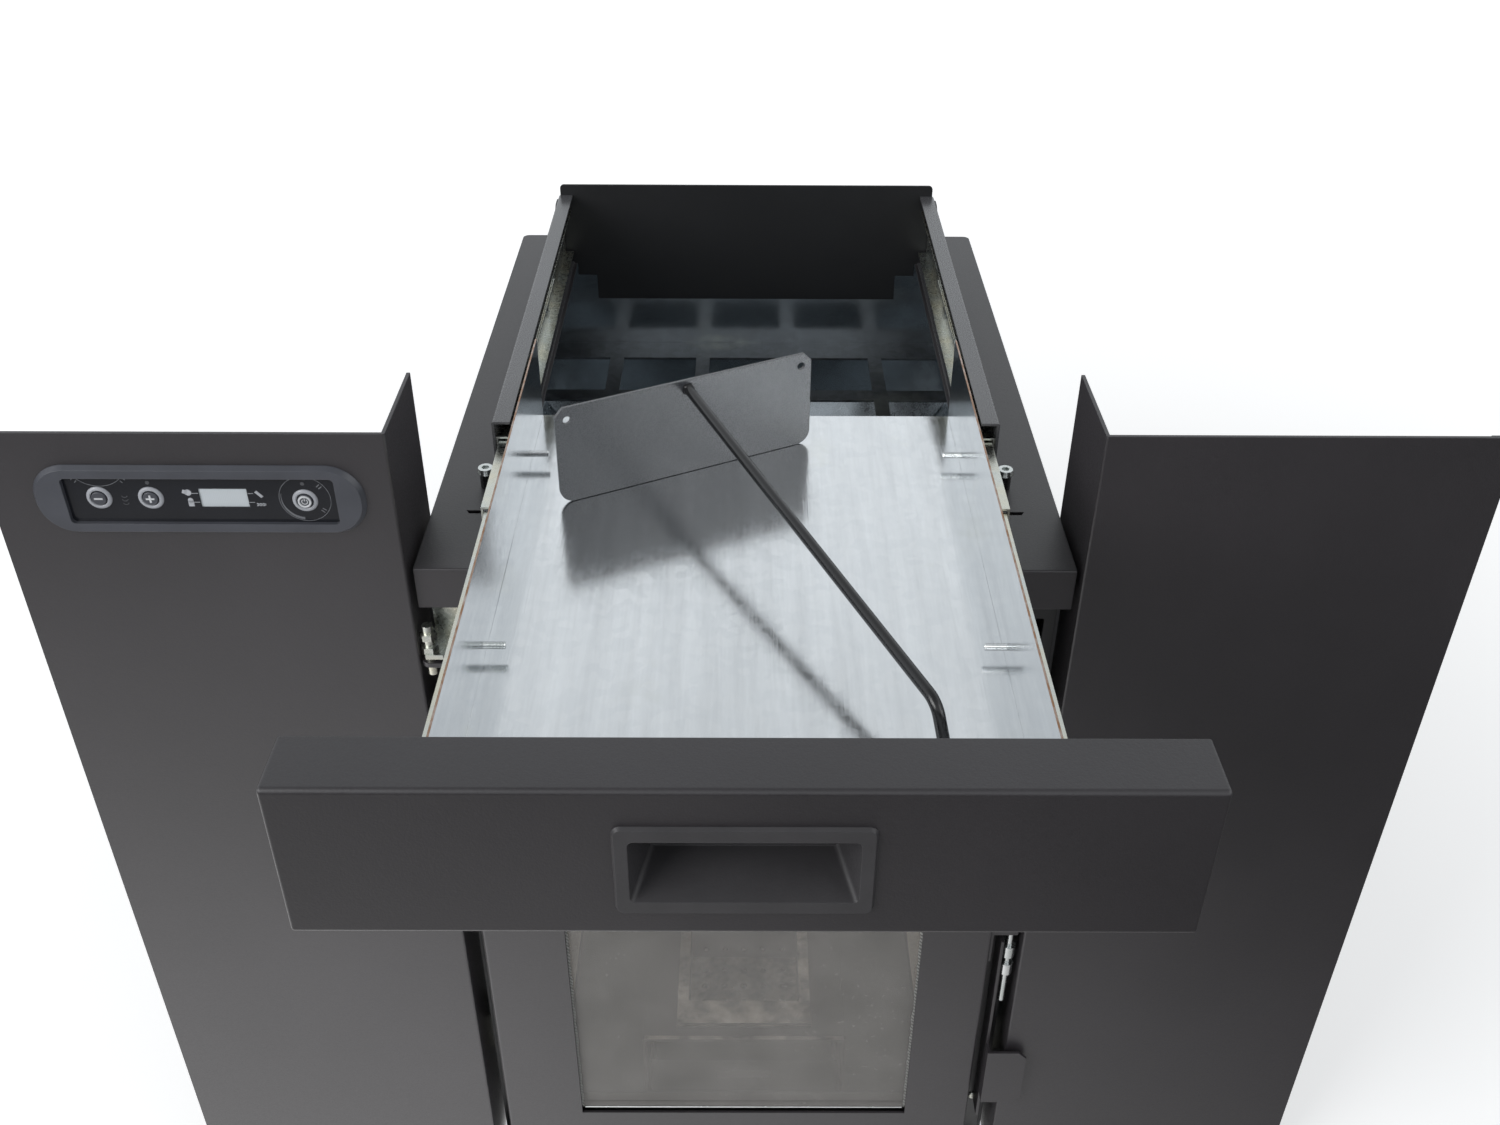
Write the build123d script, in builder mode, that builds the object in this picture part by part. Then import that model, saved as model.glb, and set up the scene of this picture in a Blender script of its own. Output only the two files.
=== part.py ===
from build123d import *
import os
from math import cos, radians, sin

os.makedirs("parts", exist_ok=True)

# Pellet fireplace insert, shown with its loading drawer pulled out
# Millimetres, +X right, +Y to the back, +Z up
# Origin: centre of the base plate's underside

# Driving dimensions of the surround
SURROUND_HALF_W = 400.0
SURROUND_TOP = 640.0
SURROUND_FOOT = 4.0
SURROUND_SHEET = 2.0
FACE_Y = -246.0
GAP_HALF_W = 186.0
FLANGE_DEPTH = 69.0

# Driving dimensions of the body
BODY_HALF_W = 183.5
BODY_FRONT = -241.0
BODY_BACK = 242.0
PLATE_TOP = 552.0
SHEET = 2.0
SIDE_OUT = BODY_HALF_W - SHEET
SIDE_IN = SIDE_OUT - SHEET
FRAME_Y = -226.0

# Driving dimensions of the loading drawer
FASCIA_HALF_W = 182.0
FASCIA_FRONT = -502.4
FASCIA_DEPTH = 30.0
FASCIA_BOTTOM = 556.0
FASCIA_TOP = 634.0
FASCIA_SHEET = 1.5
TRAY_HALF_W = 132.5
TRAY_SHEET = 1.0
TRAY_BOTTOM = PLATE_TOP + 1.5
TRAY_TOP = 608.0
TRAY_FRONT = FASCIA_FRONT + FASCIA_DEPTH
TRAY_BACK = -68.0
HANDLE_Z = 592.5

# Driving dimensions of the rails beside the drawer
CHANNEL_OUT = 144.6
CHANNEL_TOP = 607.8
CHANNEL_SHEET = 1.5
CHANNEL_LIP = 10.6
CHANNEL_FRONT = -175.0
SLIDE_Z = 579.5
HOOD_Y = 183.8
MOUTH_HALF_W = 134.0
MOUTH_FRONT = -66.0
MOUTH_BACK = 188.0

# Driving dimensions of the fire door
DOOR_LEFT = -174.0
DOOR_RIGHT = 165.0
DOOR_BOTTOM = 22.0
DOOR_TOP = 488.0
DOOR_DEPTH = 18.0
GLASS_HALF_W = 119.0
GLASS_LOW = 66.0
GLASS_HIGH = 446.0
HINGE_X = -180.0
HINGE_Y = -243.0
HINGE_PIN_R = 3.0
LATCH_X = 179.0
LATCH_Y = -238.0

# Driving dimensions of the fire and feed side
FIREBOX_HALF_W = 140.0
FIREBOX_BACK = -6.0
FIREBOX_LOW = 44.0
FIREBOX_HIGH = 446.0
TANK_HALF_W = 176.5
TANK_BACK = 237.8
GRID_Z = 457.4
AUGER_Z = 235.0
AUGER_R = 30.0
FLUE_X = 90.0
FLUE_Z = 145.0
FLUE_R = 40.0
AIR_R = 25.0
FAN_Y = 130.0
FAN_Z = 110.0
BLOWER_Y = 62.0
BLOWER_Z = 72.0

# Driving dimensions of the control panel
PANEL_X = -288.6
PANEL_Z = 600.3
PANEL_W = 175.5
PANEL_H = 42.0


def block(x, y, z, mode=Mode.ADD):
    """A box between two limits on each axis."""
    with Locations(((x[0] + x[1]) / 2, (y[0] + y[1]) / 2, (z[0] + z[1]) / 2)):
        Box(x[1] - x[0], y[1] - y[0], z[1] - z[0], mode=mode)


def rod(centre, radius, length, axis="Z", mode=Mode.ADD):
    """A cylinder centred on a point, along a row axis."""
    turn = {"X": (0, 90, 0), "Y": (90, 0, 0), "Z": (0, 0, 0)}[axis]
    with Locations(Location(centre, turn)):
        Cylinder(radius, length, mode=mode)


def facing_front(y):
    """A sketch plane at depth y that is read from the front: X right, Z up."""
    return Plane(origin=(0, y, 0), x_dir=(1, 0, 0), z_dir=(0, -1, 0))


def seen_from_right(x):
    """A sketch plane at width x with local axes Y and Z."""
    return Plane(origin=(x, 0, 0), x_dir=(0, 1, 0), z_dir=(1, 0, 0))


def keep(builder, name):
    """Label a finished piece and write its file."""
    builder.part.label = name
    export_step(builder.part, f"parts/{name}.step")


# Base plate with four anchor holes
ANCHOR_X = 300.0
ANCHOR_Y = 400.0
ANCHOR_R = 4.5
with BuildPart() as base_plate:
    block((-SIDE_IN, SIDE_IN), (-239, 240), (0, 3))
    with Locations((0, 0, 3)):
        with GridLocations(ANCHOR_X, ANCHOR_Y, 2, 2):
            Hole(ANCHOR_R, 3)
keep(base_plate, "base_plate")

# Side casings with rows of cooling slots
with BuildPart() as side_casings:
    for side in (-1, 1):
        low, high = sorted((side * SIDE_IN, side * SIDE_OUT))
        block((low, high), (FRAME_Y, 240), (1, PLATE_TOP - SHEET))
        for row in range(6):
            slot_z = 60 + 16 * row
            block((low - 1, high + 1), (60, 140), (slot_z, slot_z + 5), Mode.SUBTRACT)
keep(side_casings, "side_casings")

# Rear casing with the flue, air and mains openings
INLET_X = -145.0
INLET_Z = 56.0
with BuildPart() as rear_casing:
    block((-SIDE_IN, SIDE_IN), (240 - SHEET, 240), (3, PLATE_TOP - SHEET))
    rod((FLUE_X, 239, FLUE_Z), FLUE_R - 2, 6, "Y", Mode.SUBTRACT)
    rod((-FLUE_X, 239, FLUE_Z), AIR_R, 6, "Y", Mode.SUBTRACT)
    block((INLET_X - 14, INLET_X + 14), (236, 242), (INLET_Z - 10, INLET_Z + 10), Mode.SUBTRACT)
    for row in range(5):
        slot_z = 330 + 14 * row
        block((-60, 60), (236, 242), (slot_z, slot_z + 5), Mode.SUBTRACT)
keep(rear_casing, "rear_casing")

# Front frame behind the fire door
with BuildPart() as front_frame:
    block((-SIDE_IN, SIDE_IN), (FRAME_Y, FRAME_Y + SHEET), (3, PLATE_TOP - SHEET))
    block((-128, 128), (FRAME_Y - 1, FRAME_Y + 3), (62, 440), Mode.SUBTRACT)
    for left, right in ((166.0, 173.0), (-173.0, -166.0)):
        block((left, right), (FRAME_Y - 1, FRAME_Y + 3), (470, 508), Mode.SUBTRACT)
    # Turned flange that stiffens the upper edge
    block((-SIDE_IN, SIDE_IN), (FRAME_Y - 12, FRAME_Y), (PLATE_TOP - 4, PLATE_TOP - SHEET))
keep(front_frame, "front_frame")

# Top plate with its folded front edge and the hopper mouth
PLATE_FLANGE = 26.3
PLATE_CORNER_R = 5.0
SLOT_Y = -182.3
SLOT_HALF = 1.7
SLOT_IN = 146.0
SLOT_OUT = 163.5
with BuildPart() as top_plate:
    with BuildSketch(Plane.XY.offset(PLATE_TOP - SHEET)):
        with Locations((0, (BODY_FRONT + BODY_BACK) / 2)):
            Rectangle(2 * BODY_HALF_W, BODY_BACK - BODY_FRONT)
    extrude(amount=SHEET)
    fillet(top_plate.edges().filter_by(Axis.Z).group_by(Axis.Y)[-1], PLATE_CORNER_R)
    block((-BODY_HALF_W, BODY_HALF_W), (BODY_FRONT, BODY_FRONT + SHEET),
          (PLATE_TOP - PLATE_FLANGE, PLATE_TOP))
    for side in (-1, 1):
        low, high = sorted((side * SIDE_OUT, side * BODY_HALF_W))
        block((low, high), (BODY_FRONT, 226), (PLATE_TOP - 16, PLATE_TOP))
    fillet(top_plate.edges().filter_by(Axis.X).filter_by(
        lambda e: abs(e.center().Y - BODY_FRONT) < 0.1 and abs(e.center().Z - PLATE_TOP) < 0.1), 1.2)
    block((-MOUTH_HALF_W, MOUTH_HALF_W), (MOUTH_FRONT, MOUTH_BACK), (540, 560), Mode.SUBTRACT)
    # Slots in front of the two lifting screws
    with BuildSketch(Plane.XY.offset(PLATE_TOP - SHEET)):
        for side in (-1, 1):
            with BuildLine():
                Polyline((side * SLOT_IN, SLOT_Y - SLOT_HALF), (side * (SLOT_OUT - 2), SLOT_Y - SLOT_HALF),
                         (side * SLOT_OUT, SLOT_Y + SLOT_HALF), (side * SLOT_IN, SLOT_Y + SLOT_HALF),
                         close=True)
            make_face()
    extrude(amount=SHEET, mode=Mode.SUBTRACT)
keep(top_plate, "top_plate")

# Two lifting screws on black spacers
SCREW_HEAD_H = 3.4
SCREW_X = 155.3
SCREW_Y = -153.0
SPACER_H = 9.5
with BuildPart() as lifting_spacers:
    for side in (-1, 1):
        rod((side * SCREW_X, SCREW_Y, PLATE_TOP + SPACER_H / 2), 3.9, SPACER_H)
keep(lifting_spacers, "lifting_spacers")

with BuildPart() as lifting_screws:
    for side in (-1, 1):
        with BuildSketch(Plane.XY.offset(PLATE_TOP + SPACER_H)):
            with Locations((side * SCREW_X, SCREW_Y)):
                Circle(5.25)
        extrude(amount=SCREW_HEAD_H, taper=14)
        with BuildSketch(Plane.XY.offset(PLATE_TOP + SPACER_H + SCREW_HEAD_H)):
            with Locations((side * SCREW_X, SCREW_Y)):
                RegularPolygon(2.4, 6)
        extrude(amount=-2.2, mode=Mode.SUBTRACT)
keep(lifting_screws, "lifting_screws")

# Surround panels, each a sheet with an inner flange; the left one has the control cut-out
FIXING_Y = FACE_Y + 50.0
FIXING_Z = (110.0, 410.0)
FIXING_R = 3.0
FIXING_HALF = 12.0
for side, name in ((-1, "surround_panel_left"), (1, "surround_panel_right")):
    with BuildPart() as surround_panel:
        low, high = sorted((side * GAP_HALF_W, side * SURROUND_HALF_W))
        block((low, high), (FACE_Y, FACE_Y + SURROUND_SHEET), (SURROUND_FOOT, SURROUND_TOP))
        low, high = sorted((side * GAP_HALF_W, side * (GAP_HALF_W + SURROUND_SHEET)))
        block((low, high), (FACE_Y, FACE_Y + FLANGE_DEPTH), (SURROUND_FOOT, SURROUND_TOP))
        fillet(surround_panel.edges().filter_by(Axis.Z).filter_by(
            lambda e: abs(abs(e.center().X) - GAP_HALF_W) < 0.1 and abs(e.center().Y - FACE_Y) < 0.1), 1.5)
        if side < 0:
            with BuildSketch(facing_front(FACE_Y)):
                with Locations((PANEL_X, PANEL_Z)):
                    RectangleRounded(PANEL_W - 8, PANEL_H - 8, 16)
            extrude(amount=-SURROUND_SHEET, mode=Mode.SUBTRACT)
        for bolt_z in FIXING_Z:
            rod((side * (GAP_HALF_W + 1), FIXING_Y, bolt_z), FIXING_R + 0.2, 6, "X", Mode.SUBTRACT)
    keep(surround_panel, name)

# Distance blocks and bolts that hang the surround on the casing
with BuildPart() as panel_fixings:
    for side in (-1, 1):
        for bolt_z in FIXING_Z:
            low, high = sorted((side * SIDE_OUT, side * GAP_HALF_W))
            block((low, high), (FIXING_Y - FIXING_HALF, FIXING_Y + FIXING_HALF), (bolt_z - 18, bolt_z + 18))
            rod((side * (GAP_HALF_W + 0.2), FIXING_Y, bolt_z), FIXING_R, 7.6, "X")
            head = Plane(origin=(side * (GAP_HALF_W + SURROUND_SHEET), FIXING_Y, bolt_z),
                         x_dir=(0, 1, 0), z_dir=(side, 0, 0))
            with BuildSketch(head):
                RegularPolygon(5.7, 6)
            extrude(amount=4)
keep(panel_fixings, "panel_fixings")

# Control panel: bezel, dark window, display, housing and three sprung buttons
WINDOW_W = 143.0
WINDOW_H = 28.0
WINDOW_R = 2.5
BEZEL_FRONT = FACE_Y - 3.0
WINDOW_Y = FACE_Y - 0.4
LCD_X = -276.1
LCD_Z = 601.2
LCD_W = 25.5
LCD_H = 11.4
BUTTON_R = 4.0
BUTTON_GAP = 0.4
BUTTONS = {"button_minus": (-341.8, 601.3), "button_plus": (-314.5, 601.3), "button_power": (-233.2, 600.0)}
with BuildPart() as control_bezel:
    with BuildSketch(facing_front(FACE_Y)):
        with Locations((PANEL_X, PANEL_Z)):
            RectangleRounded(PANEL_W, PANEL_H, 20)
    extrude(amount=3.0, taper=35)
    with BuildSketch(facing_front(FACE_Y)):
        with Locations((PANEL_X, PANEL_Z)):
            RectangleRounded(PANEL_W - 8.4, PANEL_H - 8.4, 15.8)
    extrude(amount=-6.0)
    with BuildSketch(facing_front(BEZEL_FRONT)):
        with Locations((PANEL_X + 1, PANEL_Z)):
            RectangleRounded(WINDOW_W, WINDOW_H, WINDOW_R)
    extrude(amount=-12, mode=Mode.SUBTRACT)
    block((PANEL_X - 80, PANEL_X + 80), (FACE_Y + 3, FACE_Y + 6), (PANEL_Z - 15.5, PANEL_Z + 15.5),
          Mode.SUBTRACT)
keep(control_bezel, "control_bezel")

with BuildPart() as control_window:
    with BuildSketch(facing_front(WINDOW_Y)):
        with Locations((PANEL_X + 1, PANEL_Z)):
            RectangleRounded(WINDOW_W, WINDOW_H, WINDOW_R)
    extrude(amount=-2.4)
    block((LCD_X - LCD_W / 2, LCD_X + LCD_W / 2), (WINDOW_Y - 1, WINDOW_Y + 3),
          (LCD_Z - LCD_H / 2, LCD_Z + LCD_H / 2), Mode.SUBTRACT)
    for button_x, button_z in BUTTONS.values():
        rod((button_x, WINDOW_Y + 1, button_z), BUTTON_R + BUTTON_GAP, 6, "Y", Mode.SUBTRACT)
keep(control_window, "control_window")

with BuildPart() as lcd_display:
    block((LCD_X - LCD_W / 2, LCD_X + LCD_W / 2), (WINDOW_Y + 0.6, WINDOW_Y + 2.4),
          (LCD_Z - LCD_H / 2, LCD_Z + LCD_H / 2))
    block((LCD_X - LCD_W / 2 - 4, LCD_X + LCD_W / 2 + 4), (WINDOW_Y + 2.4, WINDOW_Y + 4.4),
          (LCD_Z - LCD_H / 2 - 3, LCD_Z + LCD_H / 2 + 3))
keep(lcd_display, "lcd_display")

for name, (button_x, button_z) in BUTTONS.items():
    with BuildPart() as button:
        rod((button_x, WINDOW_Y + 0.8, button_z), BUTTON_R, 4.6, "Y")
        fillet(button.edges().group_by(Axis.Y)[0], 0.6)
        rod((button_x, WINDOW_Y + 3.1, button_z), BUTTON_R + 1.4, 0.6, "Y")
    keep(button, name)

with BuildPart() as control_housing:
    block((PANEL_X - 90, PANEL_X + 90), (FACE_Y + SURROUND_SHEET, FACE_Y + 26), (PANEL_Z - 23, PANEL_Z + 23))
    block((PANEL_X - 88, PANEL_X + 88), (FACE_Y + 1, FACE_Y + 24), (PANEL_Z - 21, PANEL_Z + 21), Mode.SUBTRACT)
    # Board that carries the display and the key switches
    block((PANEL_X - 88, PANEL_X + 88), (FACE_Y + 9, FACE_Y + 11), (PANEL_Z - 21, PANEL_Z + 21))
keep(control_housing, "control_housing")

# Side channels: outer web, folded top lip and inner foot
with BuildPart() as side_channels:
    for side in (-1, 1):
        web = sorted((side * (CHANNEL_OUT - CHANNEL_SHEET), side * CHANNEL_OUT))
        lip = sorted((side * (CHANNEL_OUT - CHANNEL_LIP), side * CHANNEL_OUT))
        foot = sorted((side * 136.0, side * CHANNEL_OUT))
        block(web, (CHANNEL_FRONT, HOOD_Y), (PLATE_TOP, CHANNEL_TOP))
        block(lip, (CHANNEL_FRONT, HOOD_Y), (CHANNEL_TOP - CHANNEL_SHEET, CHANNEL_TOP))
        block(foot, (CHANNEL_FRONT, HOOD_Y), (PLATE_TOP, PLATE_TOP + CHANNEL_SHEET))
    fillet(side_channels.edges().filter_by(Axis.Y).filter_by(
        lambda e: abs(abs(e.center().X) - CHANNEL_OUT) < 0.1 and abs(e.center().Z - CHANNEL_TOP) < 0.1), 1.4)
keep(side_channels, "side_channels")

# Telescopic slides: three nested members on each side
OUTER_SPAN = (-173.0, 181.0)
MIDDLE_SPAN = (-245.0, 55.0)
INNER_SPAN = (-470.0, -69.0)


def slide_member(back, tip, height, span):
    """Two C profiles, mirrored, with the web at back and the lips reaching to tip."""
    gauge = 1.2
    for side in (-1, 1):
        inward = 1 if tip > back else -1
        web_x = sorted((side * back, side * (back + inward * gauge)))
        lip_x = sorted((side * back, side * tip))
        low = SLIDE_Z - height / 2
        high = SLIDE_Z + height / 2
        block(web_x, span, (low, high))
        block(lip_x, span, (low, low + gauge))
        block(lip_x, span, (high - gauge, high))


with BuildPart() as slide_outers:
    slide_member(CHANNEL_OUT - CHANNEL_SHEET, 135.6, 35.0, OUTER_SPAN)
keep(slide_outers, "slide_outers")

with BuildPart() as slide_middles:
    slide_member(141.2, 134.7, 31.0, MIDDLE_SPAN)
keep(slide_middles, "slide_middles")

with BuildPart() as slide_inners:
    slide_member(TRAY_HALF_W, 139.3, 26.5, INNER_SPAN)
keep(slide_inners, "slide_inners")

# Hood plate behind the drawer, with its skirt in the hopper mouth
HOOD_CORNER_R = 3.0
with BuildPart() as hood_plate:
    with BuildSketch(facing_front(HOOD_Y)):
        with BuildLine():
            Polyline((-118.6, 522), (118.6, 522), (118.6, 542.3), (133.4, 542.3), (133.4, 552.3),
                     (143.4, 552.3), (143.4, 616), (-143.4, 616), (-143.4, 552.3), (-133.4, 552.3),
                     (-133.4, 542.3), (-118.6, 542.3), close=True)
        make_face()
    extrude(amount=-1.5)
    fillet(hood_plate.edges().filter_by(Axis.Y).group_by(Axis.Z)[-1], HOOD_CORNER_R)
    # Ears folded forward over the rear ends of the channels
    for side in (-1, 1):
        ear = sorted((side * 145.0, side * 146.5))
        join = sorted((side * 143.0, side * 146.5))
        block(ear, (HOOD_Y - 16, HOOD_Y + 1.5), (570, 604))
        block(join, (HOOD_Y, HOOD_Y + 1.5), (570, 604))
        fillet(hood_plate.edges().filter_by(Axis.X).filter_by(
            lambda e: abs(e.center().Y - (HOOD_Y - 16)) < 0.1 and e.center().X * side > 0), 10)
keep(hood_plate, "hood_plate")

# Hopper tank under the top plate, with a front that slopes back over the firebox
TANK_LOW = 400.0
TANK_TOP = PLATE_TOP - SHEET
TANK_FRONT = FIREBOX_BACK + 2.0
TANK_SHEET = 1.0
with BuildPart() as hopper_tank:
    for inset, mode in ((0.0, Mode.ADD), (TANK_SHEET, Mode.SUBTRACT)):
        with BuildSketch(seen_from_right(-TANK_HALF_W + inset)):
            with BuildLine():
                Polyline((-70 + inset, TANK_TOP), (-70 + inset, 520), (TANK_FRONT + inset, 466),
                         (TANK_FRONT + inset, TANK_LOW), (TANK_BACK - inset, TANK_LOW),
                         (TANK_BACK - inset, TANK_TOP), close=True)
            make_face()
        extrude(amount=2 * (TANK_HALF_W - inset), mode=mode)
keep(hopper_tank, "hopper_tank")

# Funnel under the tank, narrowing to the auger inlet
NECK_Y = 100.0
NECK_HALF_W = 28.0
NECK_TOP = 274.0
NECK_LOW = 265.5
with BuildPart() as hopper_funnel:
    for inset, mode in ((0.0, Mode.ADD), (TANK_SHEET, Mode.SUBTRACT)):
        with BuildSketch(Plane.XY.offset(TANK_LOW)):
            with Locations((0, (TANK_FRONT + TANK_BACK) / 2)):
                Rectangle(2 * (TANK_HALF_W - inset), TANK_BACK - TANK_FRONT - 2 * inset)
        with BuildSketch(Plane.XY.offset(NECK_TOP)):
            with Locations((0, NECK_Y)):
                Rectangle(2 * (NECK_HALF_W - inset), 2 * (NECK_HALF_W - inset))
        loft(mode=mode)
        neck = NECK_HALF_W - inset
        block((-neck, neck), (NECK_Y - neck, NECK_Y + neck), (NECK_LOW - inset, NECK_TOP), mode)
keep(hopper_funnel, "hopper_funnel")

# Safety grid across the tank
GRID_PITCH = 72.3
GRID_ROWS = (30.4, 104.7, 179.0)
with BuildPart() as hopper_grid:
    block((-TANK_HALF_W + 1, TANK_HALF_W - 1), (FIREBOX_BACK + 3, TANK_BACK - 1), (GRID_Z - 2, GRID_Z))
    for row_y in GRID_ROWS:
        for column in (-1, 0, 1):
            block((column * GRID_PITCH - 30.4, column * GRID_PITCH + 30.4), (row_y - 29, row_y + 29),
                  (GRID_Z - 3, GRID_Z + 1), Mode.SUBTRACT)
        for side in (-1, 1):
            outer = sorted((side * (2 * GRID_PITCH - 30.4), side * 170.0))
            block(outer, (row_y - 29, row_y + 29), (GRID_Z - 3, GRID_Z + 1), Mode.SUBTRACT)
keep(hopper_grid, "hopper_grid")

# Auger tube with its inlet and the chute into the firebox
TUBE_START = FIREBOX_BACK + 0.5
TUBE_END = 162.0
with BuildPart() as auger_tube:
    rod((0, (TUBE_START + TUBE_END) / 2, AUGER_Z), AUGER_R, TUBE_END - TUBE_START, "Y")
    block((-29, 29), (NECK_Y - 29, NECK_Y + 29), (AUGER_Z, NECK_LOW - 0.5))
    with BuildSketch(seen_from_right(-26)):
        with BuildLine():
            Polyline((4, 264), (4, 206), (-78, 166), (-78, 224), close=True)
        make_face()
    extrude(amount=52)
    rod((0, (TUBE_START + TUBE_END) / 2, AUGER_Z), AUGER_R - 2, TUBE_END - TUBE_START + 2, "Y", Mode.SUBTRACT)
    block((-27, 27), (NECK_Y - 27, NECK_Y + 27), (AUGER_Z, NECK_LOW), Mode.SUBTRACT)
    with BuildSketch(seen_from_right(-24)):
        with BuildLine():
            Polyline((2, 260), (2, 209), (-80, 169), (-80, 220), close=True)
        make_face()
    extrude(amount=48, mode=Mode.SUBTRACT)
keep(auger_tube, "auger_tube")

# Auger screw: a shaft with a helical flight
FLIGHT_R = 26.0
SHAFT_R = 8.0
AUGER_START = 6.0
AUGER_END = 156.0
FLIGHT_PITCH = 42.0
with BuildPart() as auger_screw:
    rod((0, (AUGER_START + AUGER_END + 18) / 2, AUGER_Z), SHAFT_R, AUGER_END + 18 - AUGER_START, "Y")
    axis_start = Vector(0, AUGER_START + 4, AUGER_Z)
    with BuildLine():
        flight = Helix(pitch=FLIGHT_PITCH, height=AUGER_END - AUGER_START - 8,
                       radius=(FLIGHT_R + SHAFT_R - 1) / 2, center=axis_start, direction=(0, 1, 0))
    with BuildSketch(Plane(origin=flight @ 0, x_dir=(flight @ 0) - axis_start, z_dir=flight % 0)):
        Rectangle(FLIGHT_R - SHAFT_R + 1, 2.4)
    sweep(path=flight, is_frenet=True)
keep(auger_screw, "auger_screw")

# Gearmotor with the bearing bore for the auger shaft
with BuildPart() as auger_gearmotor:
    block((-36, 36), (162.2, 184), (AUGER_Z - 40, AUGER_Z + 32))
    rod((0, 206, AUGER_Z - 4), 27, 44, "Y")
    rod((0, 173, AUGER_Z), SHAFT_R + 0.05, 24, "Y", Mode.SUBTRACT)
    rod((0, 230.5, AUGER_Z - 4), 9, 5, "Y")
keep(auger_gearmotor, "auger_gearmotor")

# Firebox: a steel box that is open to the front
with BuildPart() as firebox:
    block((-FIREBOX_HALF_W, FIREBOX_HALF_W), (FRAME_Y + SHEET, FIREBOX_BACK), (FIREBOX_LOW, FIREBOX_HIGH))
    block((-FIREBOX_HALF_W + 3, FIREBOX_HALF_W - 3), (FRAME_Y + 1, FIREBOX_BACK - 3),
          (FIREBOX_LOW + 3, FIREBOX_HIGH - 3), Mode.SUBTRACT)
    block((-27, 27), (FIREBOX_BACK - 4, FIREBOX_BACK + 1), (160, 270), Mode.SUBTRACT)
    block((30, 60), (FIREBOX_BACK - 4, FIREBOX_BACK + 1), (80, 140), Mode.SUBTRACT)
    rod((0, FIREBOX_BACK, 118), 6.2, 12, "Y", Mode.SUBTRACT)
keep(firebox, "firebox")

# Vermiculite liners with an upright rib pattern
with BuildPart() as firebox_liners:
    for side in (-1, 1):
        low, high = sorted((side * 124.0, side * (FIREBOX_HALF_W - 3)))
        block((low, high), (FRAME_Y + 4, -26), (150, FIREBOX_HIGH - 3))
    block((-FIREBOX_HALF_W + 3, FIREBOX_HALF_W - 3), (-24, FIREBOX_BACK - 3), (150, FIREBOX_HIGH - 3))
    block((-27, 27), (-30, FIREBOX_BACK), (150, 272), Mode.SUBTRACT)
    for groove in range(-5, 6):
        block((groove * 22 - 1.5, groove * 22 + 1.5), (-26, -21), (280, FIREBOX_HIGH - 3), Mode.SUBTRACT)
    # Smoke baffle that slopes up to the front
    with BuildSketch(seen_from_right(-122)):
        with BuildLine():
            Polyline((-26, 392), (-26, 398), (-170, 422), (-170, 416), close=True)
        make_face()
    extrude(amount=244)
keep(firebox_liners, "firebox_liners")

# Pot holder: a table over the ash pan
POT_Y = (-200.0, -122.0)
POT_HALF_W = 44.0
POT_SEAT = 112.0
with BuildPart() as pot_holder:
    block((-75, 75), (-216, -60), (POT_SEAT - 2, POT_SEAT))
    block((-75, -73), (-216, -60), (FIREBOX_LOW + 3, POT_SEAT))
    block((73, 75), (-216, -60), (FIREBOX_LOW + 3, POT_SEAT))
    block((-75, 75), (-62, -60), (FIREBOX_LOW + 3, POT_SEAT))
    block((-POT_HALF_W - 1, POT_HALF_W + 1), (POT_Y[0] - 1, POT_Y[1] + 1), (POT_SEAT - 3, POT_SEAT + 1),
          Mode.SUBTRACT)
keep(pot_holder, "pot_holder")

# Burn pot with its rim, seat flange and air holes
POT_LOW = 92.0
POT_TOP = 132.0
with BuildPart() as burn_pot:
    block((-POT_HALF_W, POT_HALF_W), POT_Y, (POT_LOW, POT_TOP))
    block((-50, 50), (POT_Y[0] - 6, POT_Y[1] + 6), (POT_SEAT + 0.3, POT_SEAT + 2.3))
    block((-49, 49), (POT_Y[0] - 17, POT_Y[1] + 6), (POT_TOP - 2, POT_TOP))
    block((-POT_HALF_W + 3, POT_HALF_W - 3), (POT_Y[0] + 3, POT_Y[1] - 3), (POT_LOW + 3, POT_TOP + 1),
          Mode.SUBTRACT)
    with BuildSketch(Plane.XY.offset(POT_LOW - 1)):
        with Locations((0, (POT_Y[0] + POT_Y[1]) / 2)):
            with GridLocations(15, 15, 5, 4):
                Circle(2.5)
    extrude(amount=5, mode=Mode.SUBTRACT)
    for hole in range(-2, 3):
        rod((hole * 15, (POT_Y[0] + POT_Y[1]) / 2, 104), 2.2, 100, "Y", Mode.SUBTRACT)
keep(burn_pot, "burn_pot")

# Ash pan under the pot
with BuildPart() as ash_pan:
    block((-70, 70), (-214, -66), (FIREBOX_LOW + 3, 84))
    block((-68.5, 68.5), (-212.5, -67.5), (FIREBOX_LOW + 4.5, 85), Mode.SUBTRACT)
    block((-20, 20), (-220, -214), (70, 72))
    block((-20, 20), (-220, -218.5), (64, 72))
keep(ash_pan, "ash_pan")

# Igniter cartridge behind the pot
with BuildPart() as igniter:
    rod((0, -26, 118), 5, 64, "Y")
    rod((0, 7, 118), 9, 14, "Y")
keep(igniter, "igniter")

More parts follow.
